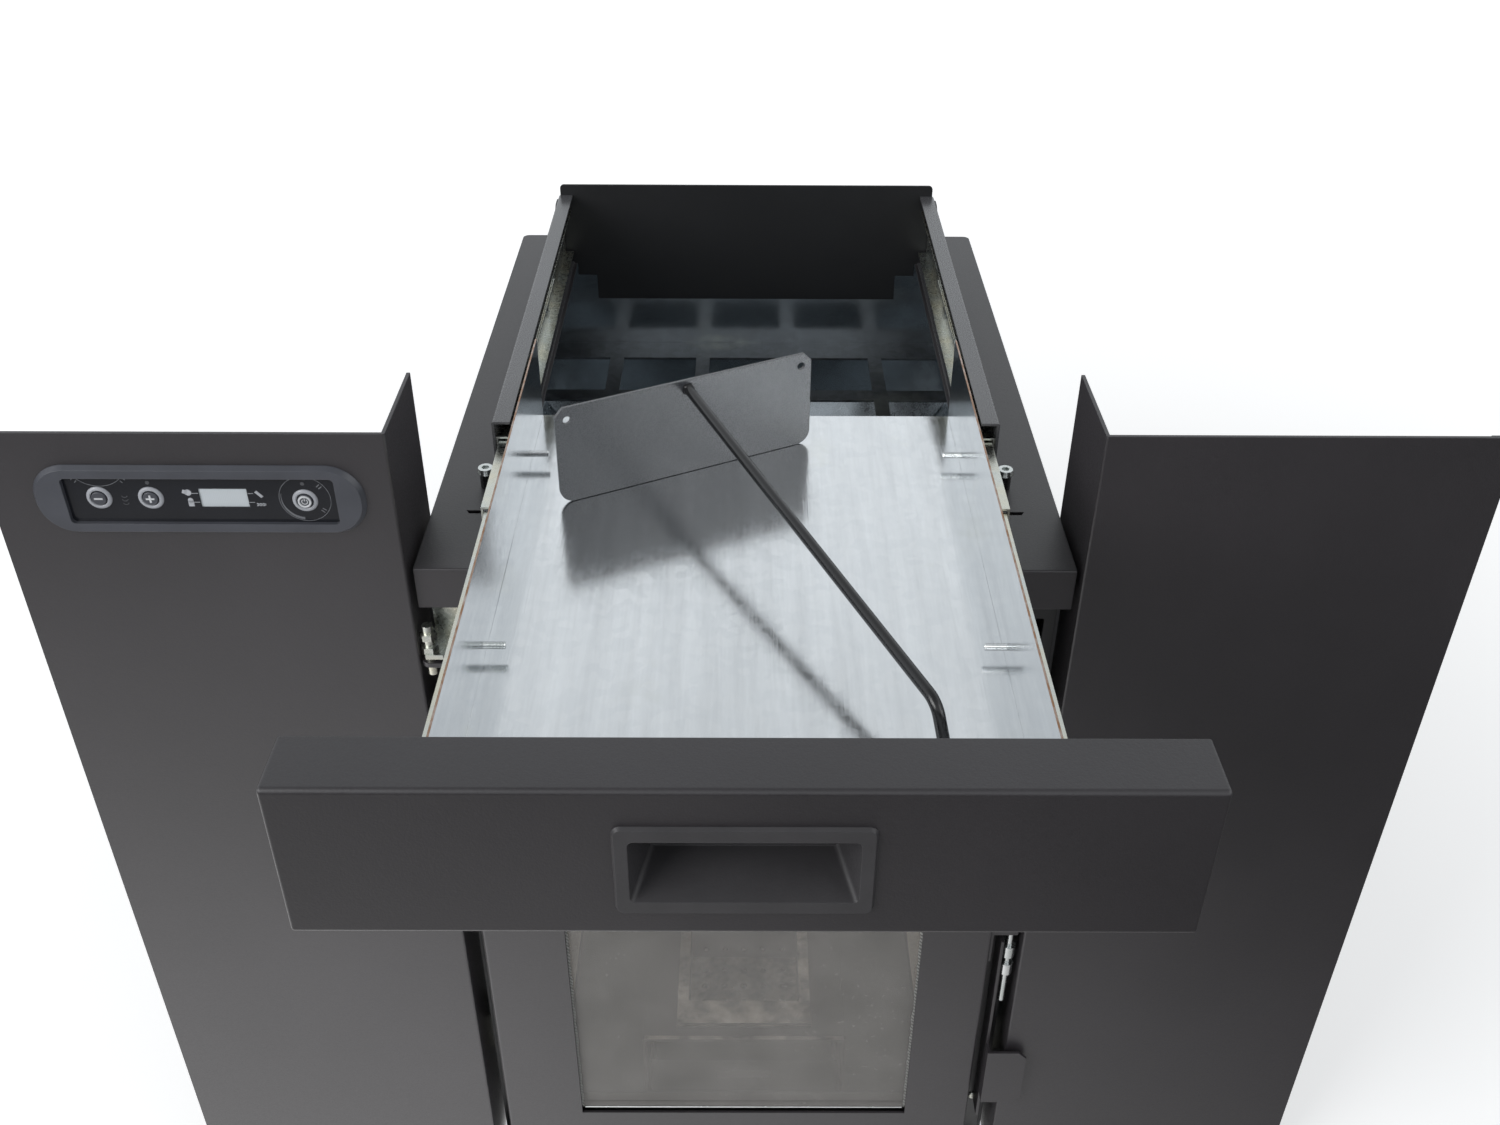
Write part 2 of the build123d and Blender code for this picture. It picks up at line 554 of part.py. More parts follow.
# Exhaust fan housing with the outlet to the flue
FAN_R = 62.0
FAN_X = (62.0, 118.0)
FAN_MID = (FAN_X[0] + FAN_X[1]) / 2
FAN_W = FAN_X[1] - FAN_X[0]
FAN_EYE_R = 28.0
with BuildPart() as exhaust_fan_housing:
    rod((FAN_MID, FAN_Y, FAN_Z), FAN_R, FAN_W, "X")
    block(FAN_X, (FAN_Y, 238), (FAN_Z + 8, FAN_Z + FAN_R))
    rod((FAN_MID, FAN_Y, FAN_Z), FAN_R - 2, FAN_W - 4, "X", Mode.SUBTRACT)
    block((FAN_X[0] + 2, FAN_X[1] - 2), (FAN_Y, 239), (FAN_Z + 10, FAN_Z + FAN_R - 2), Mode.SUBTRACT)
    rod((FAN_X[0], FAN_Y, FAN_Z), FAN_EYE_R, 8, "X", Mode.SUBTRACT)
    rod((FAN_X[1], FAN_Y, FAN_Z), 6.5, 8, "X", Mode.SUBTRACT)
keep(exhaust_fan_housing, "exhaust_fan_housing")

# Smoke duct from the firebox to the eye of the exhaust fan
DUCT_X = (26.0, FAN_X[0])
DUCT_BACK = FAN_Y + 36.0
DUCT_Z = (76.0, 144.0)
with BuildPart() as smoke_duct:
    block(DUCT_X, (FIREBOX_BACK, DUCT_BACK), DUCT_Z)
    block((DUCT_X[0] + 2, DUCT_X[1] - 2), (FIREBOX_BACK - 1, DUCT_BACK - 2), (DUCT_Z[0] + 2, DUCT_Z[1] - 2),
          Mode.SUBTRACT)
    rod((DUCT_X[1], FAN_Y, FAN_Z), FAN_EYE_R, 8, "X", Mode.SUBTRACT)
keep(smoke_duct, "smoke_duct")

# Exhaust impeller with radial blades, on the motor's shaft
with BuildPart() as exhaust_impeller:
    rod((FAN_MID + 14, FAN_Y, FAN_Z), 50, 3, "X")
    rod((FAN_MID + 8, FAN_Y, FAN_Z), 10, 14, "X")
    hub = Plane(origin=(FAN_MID - 16, FAN_Y, FAN_Z), x_dir=(0, 1, 0), z_dir=(1, 0, 0))
    with BuildSketch(hub):
        with PolarLocations(29, 10):
            Rectangle(40, 2)
    extrude(amount=30)
    rod((FAN_X[1] - 8, FAN_Y, FAN_Z), 5, 18, "X")
    rod((FAN_MID, FAN_Y, FAN_Z), 4.05, FAN_W + 40, "X", Mode.SUBTRACT)
keep(exhaust_impeller, "exhaust_impeller")

with BuildPart() as exhaust_motor:
    rod((FAN_X[1] + 30, FAN_Y, FAN_Z), 33, 48, "X")
    rod((FAN_X[1] + 5, FAN_Y, FAN_Z), 46, 3, "X")
    for corner in range(4):
        angle = radians(45 + 90 * corner)
        rod((FAN_X[1] + 2, FAN_Y + 40 * cos(angle), FAN_Z + 40 * sin(angle)), 3, 4, "X")
    rod((FAN_X[1] - 8, FAN_Y, FAN_Z), 4.0, 30, "X")
keep(exhaust_motor, "exhaust_motor")

# Flue spigot with its flange
FLUE_END = 292.0
with BuildPart() as flue_spigot:
    rod((FLUE_X, 241.5, FLUE_Z), FLUE_R + 13, 3, "Y")
    rod((FLUE_X, (240 + FLUE_END) / 2, FLUE_Z), FLUE_R, FLUE_END - 240, "Y")
    rod((FLUE_X, 266, FLUE_Z), FLUE_R - 1.5, 60, "Y", Mode.SUBTRACT)
keep(flue_spigot, "flue_spigot")

# Combustion air pipe
AIR_END = 282.0
with BuildPart() as air_inlet_pipe:
    rod((-FLUE_X, (186 + AIR_END) / 2, FLUE_Z), AIR_R, AIR_END - 186, "Y")
    rod((-FLUE_X, 241.5, FLUE_Z), AIR_R + 8, 3, "Y")
    rod((-FLUE_X, 234, FLUE_Z), AIR_R - 1.5, 120, "Y", Mode.SUBTRACT)
keep(air_inlet_pipe, "air_inlet_pipe")

# Room air blower: drum housing, wheel and motor
BLOWER_X = (-160.0, -34.0)
BLOWER_MID = (BLOWER_X[0] + BLOWER_X[1]) / 2
BLOWER_W = BLOWER_X[1] - BLOWER_X[0]
with BuildPart() as blower_housing:
    rod((BLOWER_MID, BLOWER_Y, BLOWER_Z), 50, BLOWER_W, "X")
    block(BLOWER_X, (BLOWER_Y - 50, BLOWER_Y), (BLOWER_Z, BLOWER_Z + 62))
    rod((BLOWER_MID, BLOWER_Y, BLOWER_Z), 48, BLOWER_W - 4, "X", Mode.SUBTRACT)
    block((BLOWER_X[0] + 2, BLOWER_X[1] - 2), (BLOWER_Y - 48, BLOWER_Y - 2), (BLOWER_Z, BLOWER_Z + 63),
          Mode.SUBTRACT)
    rod((BLOWER_X[0], BLOWER_Y, BLOWER_Z), 30, 8, "X", Mode.SUBTRACT)
    rod((BLOWER_X[1], BLOWER_Y, BLOWER_Z), 6, 8, "X", Mode.SUBTRACT)
keep(blower_housing, "blower_housing")

with BuildPart() as blower_wheel:
    rod((BLOWER_X[1] - 8, BLOWER_Y, BLOWER_Z), 40, 3, "X")
    rod((BLOWER_X[1] - 14, BLOWER_Y, BLOWER_Z), 9, 12, "X")
    drum = Plane(origin=(BLOWER_X[0] + 8, BLOWER_Y, BLOWER_Z), x_dir=(0, 1, 0), z_dir=(1, 0, 0))
    with BuildSketch(drum):
        Circle(40)
        Circle(34, mode=Mode.SUBTRACT)
    extrude(amount=3)
    with BuildSketch(drum):
        with PolarLocations(37, 24):
            Rectangle(6, 1.4)
    extrude(amount=BLOWER_W - 17)
    rod((BLOWER_X[1] - 10, BLOWER_Y, BLOWER_Z), 3.05, 30, "X", Mode.SUBTRACT)
keep(blower_wheel, "blower_wheel")

with BuildPart() as blower_motor:
    rod((BLOWER_X[1] + 18, BLOWER_Y, BLOWER_Z), 26, 36, "X")
    rod((BLOWER_X[1] - 8, BLOWER_Y, BLOWER_Z), 3.0, 26, "X")
keep(blower_motor, "blower_motor")

# Control board on its stand-offs
with BuildPart() as control_board:
    block((-172, -170), (60, 200), (180, 300))
    block((-170, -158), (70, 110), (190, 230))
    block((-170, -150), (130, 160), (200, 250))
    block((-170, -162), (70, 190), (270, 290))
    for stand_y in (66, 194):
        for stand_z in (186, 294):
            rod((-175.75, stand_y, stand_z), 3, 7.5, "X")
keep(control_board, "control_board")

# Mains inlet: a socket body with three pins
with BuildPart() as power_inlet:
    block((INLET_X - 13.6, INLET_X + 13.6), (222, 240), (INLET_Z - 9.6, INLET_Z + 9.6))
    block((INLET_X - 22, INLET_X + 22), (240, 243), (INLET_Z - 13, INLET_Z + 13))
    block((INLET_X - 12, INLET_X + 12), (226, 244), (INLET_Z - 8, INLET_Z + 8), Mode.SUBTRACT)
    for pin_x, pin_z in ((-7, -2), (0, 2), (7, -2)):
        block((INLET_X + pin_x - 1, INLET_X + pin_x + 1), (225, 236),
              (INLET_Z + pin_z - 2, INLET_Z + pin_z + 2))
keep(power_inlet, "power_inlet")

# Fire door shell: face sheet, folded sides and hinge lugs
LUG_R = 5.0
LUG_T = 3.0
DOOR_BACK = FACE_Y + DOOR_DEPTH
with BuildPart() as door_frame:
    block((DOOR_LEFT, DOOR_RIGHT), (FACE_Y, DOOR_BACK), (DOOR_BOTTOM, DOOR_TOP))
    fillet(door_frame.edges().filter_by(Axis.Z).group_by(Axis.Y)[0], 2.5)
    block((DOOR_LEFT + 2, DOOR_RIGHT - 2), (FACE_Y + 2, DOOR_BACK + 1), (DOOR_BOTTOM + 2, DOOR_TOP - 2),
          Mode.SUBTRACT)
    block((-GLASS_HALF_W, GLASS_HALF_W), (FACE_Y - 1, FACE_Y + 3), (GLASS_LOW, GLASS_HIGH), Mode.SUBTRACT)
    for lug_z in (DOOR_BOTTOM - LUG_T, DOOR_TOP):
        with BuildSketch(Plane.XY.offset(lug_z)):
            with Locations((HINGE_X, HINGE_Y)):
                Circle(LUG_R)
            with Locations((HINGE_X + 14, HINGE_Y)):
                Rectangle(28, 2 * LUG_R)
        extrude(amount=LUG_T)
        rod((HINGE_X, HINGE_Y, lug_z + LUG_T / 2), HINGE_PIN_R + 0.05, LUG_T + 2, "Z", Mode.SUBTRACT)
keep(door_frame, "door_frame")

# Ceramic glass pane, whose lower edge shows above the air slot
GLASS_T = 4.0
GLASS_Y = FACE_Y + 2.5
with BuildPart() as door_glass:
    block((-127, 127), (GLASS_Y, GLASS_Y + GLASS_T), (GLASS_LOW + 4, GLASS_HIGH + 6))
keep(door_glass, "door_glass")

# Inner door panel with the frame that holds the pane against the door
PANEL_IN_Y = FACE_Y + 10.5
WELL_HALF_W = 121.0
with BuildPart() as door_inner_panel:
    block((-132, 132), (GLASS_Y + GLASS_T, PANEL_IN_Y), (GLASS_LOW - 2, GLASS_HIGH + 10))
    block((DOOR_LEFT + 2, DOOR_RIGHT - 2), (PANEL_IN_Y, PANEL_IN_Y + 2), (DOOR_BOTTOM + 2, DOOR_TOP - 2))
    block((-WELL_HALF_W, WELL_HALF_W), (GLASS_Y, PANEL_IN_Y + 3), (GLASS_LOW + 6, GLASS_HIGH), Mode.SUBTRACT)
keep(door_inner_panel, "door_inner_panel")

# Rope gasket behind the inner panel
GASKET_W = 8.0
with BuildPart() as door_gasket:
    block((-142, 142), (PANEL_IN_Y + 2, FRAME_Y - 0.4), (50, 454))
    block((-142 + GASKET_W, 142 - GASKET_W), (PANEL_IN_Y, FRAME_Y), (50 + GASKET_W, 454 - GASKET_W),
          Mode.SUBTRACT)
keep(door_gasket, "door_gasket")

# Door hinges: ledges on the casing with their bolts and nuts
LEDGE_LIMITS = ((12.0, 15.0, 3.2, 15.0), (494.0, 497.0, 494.0, 518.0))
with BuildPart() as door_hinges:
    for low, high, back_low, back_high in LEDGE_LIMITS:
        with BuildSketch(Plane.XY.offset(low)):
            with BuildLine():
                Polyline((-185, FRAME_Y), (-185, HINGE_Y), (-182, HINGE_Y - 5), (-172, HINGE_Y - 5),
                         (-166, HINGE_Y + 3), (-160, FRAME_Y), close=True)
            make_face()
        extrude(amount=high - low)
        block((-179.4, -160), (FRAME_Y - 2, FRAME_Y), (back_low, back_high))
    rod((HINGE_X, HINGE_Y, 498), HINGE_PIN_R, 34)
    rod((HINGE_X, HINGE_Y, 20), HINGE_PIN_R, 24)
    for nut_z in (497.0, 506.0, 8.0):
        with BuildSketch(Plane.XY.offset(nut_z)):
            with Locations((HINGE_X, HINGE_Y)):
                RegularPolygon(5.0, 6)
        extrude(amount=4)
keep(door_hinges, "door_hinges")

# Door latch: pin and bracket on the door, turning strip with its finger tab
PIN_R = 2.5
with BuildPart() as latch_bracket:
    block((DOOR_RIGHT, LATCH_X + 4), (LATCH_Y - 4, LATCH_Y + 4), (256, 266))
    block((DOOR_RIGHT, DOOR_RIGHT + 2), (LATCH_Y - 4, LATCH_Y + 8), (230, 290))
    rod((LATCH_X, LATCH_Y, 261), PIN_R, 12, "Z", Mode.SUBTRACT)
keep(latch_bracket, "latch_bracket")

with BuildPart() as latch_pin:
    rod((LATCH_X, LATCH_Y, 227), PIN_R, 80)
    rod((LATCH_X, LATCH_Y, 268), 4, 3)
keep(latch_pin, "latch_pin")

SLEEVE_R = 4.6
with BuildPart() as latch_sleeves:
    for low, high in ((216, 226), (233, 243)):
        rod((LATCH_X, LATCH_Y, (low + high) / 2), SLEEVE_R, high - low)
        rod((LATCH_X, LATCH_Y, (low + high) / 2), PIN_R + 0.05, 12, "Z", Mode.SUBTRACT)
keep(latch_sleeves, "latch_sleeves")

STRIP_X = (LATCH_X - SLEEVE_R - 2, LATCH_X - SLEEVE_R)
TAB_Y = (FACE_Y - 6, FACE_Y - 4)
with BuildPart() as latch_handle:
    block(STRIP_X, (TAB_Y[0], FACE_Y + 18), (60, 250))
    block((STRIP_X[0], STRIP_X[0] + 28), TAB_Y, (88, 144))
    block((STRIP_X[0] - 1, STRIP_X[1] + 1), (TAB_Y[0] - 1, FACE_Y + 3), (144, 260), Mode.SUBTRACT)
    block((STRIP_X[0] - 1, STRIP_X[1] + 1), (TAB_Y[0] - 1, FACE_Y + 3), (50, 88), Mode.SUBTRACT)
    chamfer(latch_handle.edges().filter_by(Axis.Y).group_by(Axis.X)[-1], 6)
keep(latch_handle, "latch_handle")

# Drawer fascia: a closed box section with the handle cut-out
CUP_W = 96.0
CUP_H = 40.0
with BuildPart() as drawer_fascia:
    block((-FASCIA_HALF_W, FASCIA_HALF_W), (FASCIA_FRONT, TRAY_FRONT), (FASCIA_BOTTOM, FASCIA_TOP))
    fillet(drawer_fascia.edges().filter_by(Axis.X).group_by(Axis.Y)[0], 2.2)
    fillet(drawer_fascia.edges().filter_by(Axis.Z).group_by(Axis.Y)[0], 1.4)
    block((-FASCIA_HALF_W + FASCIA_SHEET, FASCIA_HALF_W - FASCIA_SHEET),
          (FASCIA_FRONT + FASCIA_SHEET, TRAY_FRONT + 1),
          (FASCIA_BOTTOM + FASCIA_SHEET, FASCIA_TOP - FASCIA_SHEET), Mode.SUBTRACT)
    with BuildSketch(facing_front(FASCIA_FRONT)):
        with Locations((0, HANDLE_Z)):
            RectangleRounded(CUP_W, CUP_H, 3)
    extrude(amount=-3, mode=Mode.SUBTRACT)
    # Welded back plate that carries the tray
    block((-FASCIA_HALF_W + FASCIA_SHEET, FASCIA_HALF_W - FASCIA_SHEET),
          (TRAY_FRONT - FASCIA_SHEET, TRAY_FRONT), (FASCIA_BOTTOM + FASCIA_SHEET, FASCIA_TOP - FASCIA_SHEET))
keep(drawer_fascia, "drawer_fascia")

# Handle cup with a bevelled rim and a pocket that slopes inward
RIM_W = 102.5
RIM_H = 47.0
POCKET_DEPTH = 21.0
with BuildPart() as handle_cup:
    with BuildSketch(facing_front(FASCIA_FRONT)):
        with Locations((0, HANDLE_Z)):
            RectangleRounded(RIM_W, RIM_H, 4)
    extrude(amount=1.8, taper=30)
    with BuildSketch(facing_front(FASCIA_FRONT)):
        with Locations((0, HANDLE_Z)):
            RectangleRounded(CUP_W - 0.4, CUP_H - 0.4, 3)
    extrude(amount=-POCKET_DEPTH - 2)
    with BuildSketch(facing_front(FASCIA_FRONT - 1.8)):
        with Locations((0, HANDLE_Z)):
            RectangleRounded(90, 33, 2.5)
    with BuildSketch(facing_front(FASCIA_FRONT + POCKET_DEPTH)):
        with Locations((0, HANDLE_Z + 3)):
            RectangleRounded(76, 22, 2.5)
    loft(mode=Mode.SUBTRACT)
keep(handle_cup, "handle_cup")

# Drawer tray: one zinc sheet folded to a trough, open at the back
TRAY_SCREW_Y = (-322.0, -132.0)
TRAY_SCREW_Z = 562.0
TRAY_SCREW_R = 2.0
LIP_FRONT = -106.4
LIP_DROP = 0.8
with BuildPart() as drawer_tray:
    block((-TRAY_HALF_W, TRAY_HALF_W), (TRAY_FRONT, TRAY_BACK), (TRAY_BOTTOM, TRAY_TOP))
    block((-TRAY_HALF_W + TRAY_SHEET, TRAY_HALF_W - TRAY_SHEET), (TRAY_FRONT + TRAY_SHEET, TRAY_BACK + 1),
          (TRAY_BOTTOM + TRAY_SHEET, TRAY_TOP + 1), Mode.SUBTRACT)
    for screw_y in TRAY_SCREW_Y:
        rod((0, screw_y, TRAY_SCREW_Z), TRAY_SCREW_R, 2 * TRAY_HALF_W + 2, "X", Mode.SUBTRACT)
    # Rear lip of the floor, which dips towards the hopper
    block((-TRAY_HALF_W - 1, TRAY_HALF_W + 1), (LIP_FRONT, TRAY_BACK + 1),
          (TRAY_BOTTOM - 1, TRAY_BOTTOM + TRAY_SHEET), Mode.SUBTRACT)
    with BuildSketch(seen_from_right(-TRAY_HALF_W)):
        with BuildLine():
            Polyline((LIP_FRONT, TRAY_BOTTOM), (TRAY_BACK, TRAY_BOTTOM - LIP_DROP),
                     (TRAY_BACK, TRAY_BOTTOM - LIP_DROP + TRAY_SHEET),
                     (LIP_FRONT, TRAY_BOTTOM + TRAY_SHEET), close=True)
        make_face()
    extrude(amount=2 * TRAY_HALF_W)
    for side in (-1, 1):
        block(sorted((side * (TRAY_HALF_W - TRAY_SHEET), side * TRAY_HALF_W)), (LIP_FRONT, TRAY_BACK),
              (TRAY_BOTTOM, TRAY_TOP))
keep(drawer_tray, "drawer_tray")

# Screws that hold the slides, with their ends inside the tray
with BuildPart() as tray_screws:
    for side in (-1, 1):
        for screw_y in TRAY_SCREW_Y:
            rod((side * (TRAY_HALF_W - 6.2), screw_y, TRAY_SCREW_Z), TRAY_SCREW_R, 12.4, "X")
            rod((side * (TRAY_HALF_W + 0.9), screw_y, TRAY_SCREW_Z), TRAY_SCREW_R + 1.2, 1.8, "X")
keep(tray_screws, "tray_screws")

# Pusher for moving pellets: a blade that stands across the tray, turned in plan
TRAY_FLOOR = TRAY_BOTTOM + TRAY_SHEET
BLADE_W = 165.5
BLADE_H = 62.0
BLADE_X = -34.1
BLADE_Y = -140.2
BLADE_TURN = 26.85
BLADE_LIFT = 0.3
blade_plane = Plane(origin=(BLADE_X, BLADE_Y, TRAY_FLOOR + BLADE_LIFT),
                    x_dir=(cos(radians(BLADE_TURN)), sin(radians(BLADE_TURN)), 0),
                    z_dir=(sin(radians(BLADE_TURN)), -cos(radians(BLADE_TURN)), 0))
with BuildPart() as pusher_blade:
    with BuildSketch(blade_plane) as blade_outline:
        with Locations((0, BLADE_H / 2)):
            Rectangle(BLADE_W, BLADE_H)
        fillet(blade_outline.vertices().group_by(Axis.Y)[0], 9)
        chamfer(blade_outline.vertices().group_by(Axis.Y)[-1], 5)
        with Locations((-BLADE_W / 2 + 7, BLADE_H - 8), (BLADE_W / 2 - 7, BLADE_H - 8)):
            Circle(2.4, mode=Mode.SUBTRACT)
    extrude(amount=-2)
keep(pusher_blade, "pusher_blade")

with BuildPart() as pusher_rod:
    with BuildLine():
        handle_line = FilletPolyline((BLADE_X, BLADE_Y, TRAY_FLOOR + 57), (86.6, -394.0, 586.0),
                                     (93.0, -408.0, TRAY_FLOOR + 3.4), radius=13)
    with BuildSketch(Plane(origin=handle_line @ 0, z_dir=handle_line % 0)):
        Circle(3)
    sweep(path=handle_line)
keep(pusher_rod, "pusher_rod")
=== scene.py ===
import math
import random

import bmesh
import bpy
from mathutils import Matrix, Vector


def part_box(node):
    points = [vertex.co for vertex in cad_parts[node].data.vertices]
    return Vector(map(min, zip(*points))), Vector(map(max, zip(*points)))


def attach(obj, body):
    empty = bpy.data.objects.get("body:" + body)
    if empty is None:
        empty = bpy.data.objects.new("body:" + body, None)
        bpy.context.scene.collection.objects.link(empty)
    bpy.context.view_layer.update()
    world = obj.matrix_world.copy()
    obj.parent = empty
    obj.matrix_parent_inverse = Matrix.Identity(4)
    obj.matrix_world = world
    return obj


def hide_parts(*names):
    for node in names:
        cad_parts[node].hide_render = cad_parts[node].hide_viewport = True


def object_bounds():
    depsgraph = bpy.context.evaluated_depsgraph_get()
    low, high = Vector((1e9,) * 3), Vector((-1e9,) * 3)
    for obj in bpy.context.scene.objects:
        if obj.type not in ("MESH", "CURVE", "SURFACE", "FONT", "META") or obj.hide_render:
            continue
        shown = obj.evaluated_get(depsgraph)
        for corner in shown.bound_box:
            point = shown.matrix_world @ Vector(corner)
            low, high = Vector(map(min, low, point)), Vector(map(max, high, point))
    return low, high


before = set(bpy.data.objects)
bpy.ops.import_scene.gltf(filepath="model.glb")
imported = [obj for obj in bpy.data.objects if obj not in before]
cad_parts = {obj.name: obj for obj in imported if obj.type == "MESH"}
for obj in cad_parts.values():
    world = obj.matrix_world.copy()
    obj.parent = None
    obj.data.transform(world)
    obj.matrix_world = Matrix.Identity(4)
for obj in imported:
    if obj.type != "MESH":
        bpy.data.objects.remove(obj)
cad_low, cad_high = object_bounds()
MM = 0.001

# Camera solved from the photograph, its place in millimetres and its angles in degrees
LENS = 34.78
SENSOR = 36.0
CAMERA_AT = (-0.33, -897.3, 1009.8)
CAMERA_PITCH = 34.596
CAMERA_YAW = 0.249
CAMERA_ROLL = 0.322

# Sky in reflections, by how far a ray rises: bright at SKY_LOW, softer at SKY_MID, dim overhead
SKY_LOW = 0.50
SKY_MID = 0.72
SKY_BRIGHT = 1.06
SKY_SOFT = 0.78
SKY_TOP = 0.4
SKY_SHADE = 0.40
SKY_TINT = (0.93, 0.97, 1.0)
WHITE = (1.0, 1.0, 1.0)

# Floor: its radius in millimetres, and its own glow to the camera, which grows over metres
FLOOR_RADIUS = 12000.0
FLOOR_GAP = 0.0005
FLOOR_SIDES = 96
FLOOR_GREY = (0.86, 0.86, 0.86, 1)
FLOOR_ROUGHNESS = 0.9
FLOOR_SPECULAR = 0.1
NEAR_REACH = 0.6
FAR_REACH = 3.0
FLOOR_NEAR = 0.45
FLOOR_FAR = 0.9

# Pool of light that glossy faces see on the floor, in metres
POOL_AT = (-0.60, -0.15, 0.0)
POOL_IN = 0.1
POOL_OUT = 1.35
POOL_BRIGHT = 1.7
POOL_DIM = 0.12

# Square lamps: name, place, target, side and power
LAMPS = (
    ("key", (-1.9, -1.6, 1.7), (0.0, -0.1, 0.3), 1.6, 40.0),
    ("fill", (1.9, -1.1, 1.9), (0.0, 0.0, 0.4), 1.4, 8.0),
)

# Key panel, in millimetres: each key's centre, and the display's centre, width and height
FACE_Y = -246.0
WINDOW_Y = FACE_Y - 0.4
KEY_FRONT = WINDOW_Y - 1.5
KEYS = {"minus": (-341.8, 601.3), "plus": (-314.5, 601.3), "power": (-233.2, 600.0)}
LCD = (-276.1, 601.2, 25.5, 11.4)
RING_IN = 4.5
RING_OUT = 6.8
INK = 0.12
SIGN = 4.6
SIGN_WIDE = 1.1

# Drawer and pusher, in millimetres, but the tray's cut edge in metres
TRAY_EDGE = (0.6076, 0.6079)
SCREW_R = 3.2
CREST_R = 1.98
ROOT_R = 1.72
THREAD_START = 2.2
THREAD_END = 13.4
THREAD_PITCH = 0.7
THREAD_FLANK = 0.34
BLADE_MID = (-34.1, -140.2)
WELD_R = 4.3
WELD_DROP = 3.4
WELD_LUMPS = 5
WELD_SEED = 4
WELD_SIZE = 0.86
WELD_SWELL = 0.045
FASCIA_IN = 24
FASCIA_MARGIN = 14

# Slides: node, body, distance of the rivets' feet from the middle plane, and the way they face
SLIDES = (
    ("slide_outers", "casing", 141.9, -1),
    ("slide_middles", "slide_middle", 139.9, -1),
    ("slide_inners", "drawer", 133.7, 1),
)
RIVET_SHARES = (0.06, 0.34, 0.66, 0.94)
STOP_X = (135.2, 139.8)
STOP_Y = (0.2, 5.0)
STOP_Z = (1.6, 7.5)

# Casing and door, in millimetres
REAR_X = (-171, 171)
REAR_LEVELS = (24, 150, 280, 410, 530)
REAR_TOP_X = (-90, 0, 90)
REAR_TOP_Z = 534
SIDE_Y = (-150, 0, 150)
SIDE_LEVELS = (14, 524)
FLUE_X = 90.0
FLUE_Z = 145.0
FLUE_R = 40.0
AIR_R = 25.0
FLUE_BOLTS_R = 47
AIR_BOLTS_R = 29
FLANGE = 3
BEADS_BACK = (7.0, 30.0)
BEAD_R = 1.4
HEM = 14
HEM_SHEET = 1.4
HEM_GAP = 0.2
PANEL_SHEET = 2.0
GLASS_HALF = 119.0
TAPE_ROWS = 96
TAPE_SEED = 9
TAPE_OUT = 4
TAPE_IN = 1.1
TAPE_FRAY = 0.9
TAPE_FRONT = 0.38
TAPE_BACK = 0.02
TAPE_START = 2
TAPE_SHORT = 12
DOOR_SCREW_X = 148
DOOR_SHIFT = 4
DOOR_LEVELS = (36, 180, 330, 472)
HOLDER_RISE = 20
FRONT_X = (-172, 172)
FRONT_LEVELS = (60, 300, 440)
FRONT_SET_BACK = 12.0

# Screw and rivet heads: radius and height
REAR_HEAD = (3.6, 1.9)
SIDE_HEAD = (3.6, 1.7)
FLUE_HEAD = (3.2, 1.8)
AIR_HEAD = (2.4, 1.4)
FASCIA_HEAD = (3.2, 1.8)
DOOR_HEAD = (3.4, 1.8)
RIVET_HEAD = (3.0, 1.1)

# Shared by the pieces: the angle of a sharp edge in degrees, sides, directions and round counts
SHARP = 38
BOTH = (-1, 1)
FRONTWARD = (0, -1, 0)
BACKWARD = (0, 1, 0)
HEAD_STEPS = 24
THREAD_STEPS = 28
DOT_STEPS = 20
BEAD_STEPS = 72

# Gloss of the smoother coats
COAT_IOR = 1.62


# Shader nodes
def feed(tree, socket, value):
    """Links a socket to another node's output, or sets its value."""
    if isinstance(value, bpy.types.NodeSocket):
        tree.links.new(value, socket)
    elif socket.type == "RGBA" and len(value) == 3:
        socket.default_value = (*value, 1)
    else:
        socket.default_value = value


def linked(tree, kind, inputs=None, **settings):
    """A shader node with its settings and inputs."""
    made = tree.nodes.new(kind)
    for key, value in settings.items():
        setattr(made, key, value)
    for key, value in (inputs or {}).items():
        feed(tree, made.inputs[key], value)
    return made


def ranged(tree, value, low, high, to_low, to_high, **settings):
    """Maps a value from one range to another, held at both ends."""
    inputs = {"Value": value, "From Min": low, "From Max": high, "To Min": to_low, "To Max": to_high}
    return linked(tree, "ShaderNodeMapRange", inputs, **settings).outputs["Result"]


def worked(tree, operation, first, second):
    """The result of one operation on two values."""
    made = linked(tree, "ShaderNodeMath", {0: first, 1: second}, operation=operation)
    return made.outputs["Value"]


def mixed(tree, kind, share, first, second):
    """The first value or colour where the share is 0, the second where it is 1."""
    inputs = {"Factor": share, "A": first, "B": second}
    return linked(tree, "ShaderNodeMix", inputs, data_type=kind).outputs["Result"]


def distance(tree, place, point):
    """How far a place is from a fixed point."""
    made = linked(tree, "ShaderNodeVectorMath", {0: place, 1: point}, operation="DISTANCE")
    return made.outputs["Value"]


def scaled(colour, share):
    return tuple(channel * share for channel in colour)


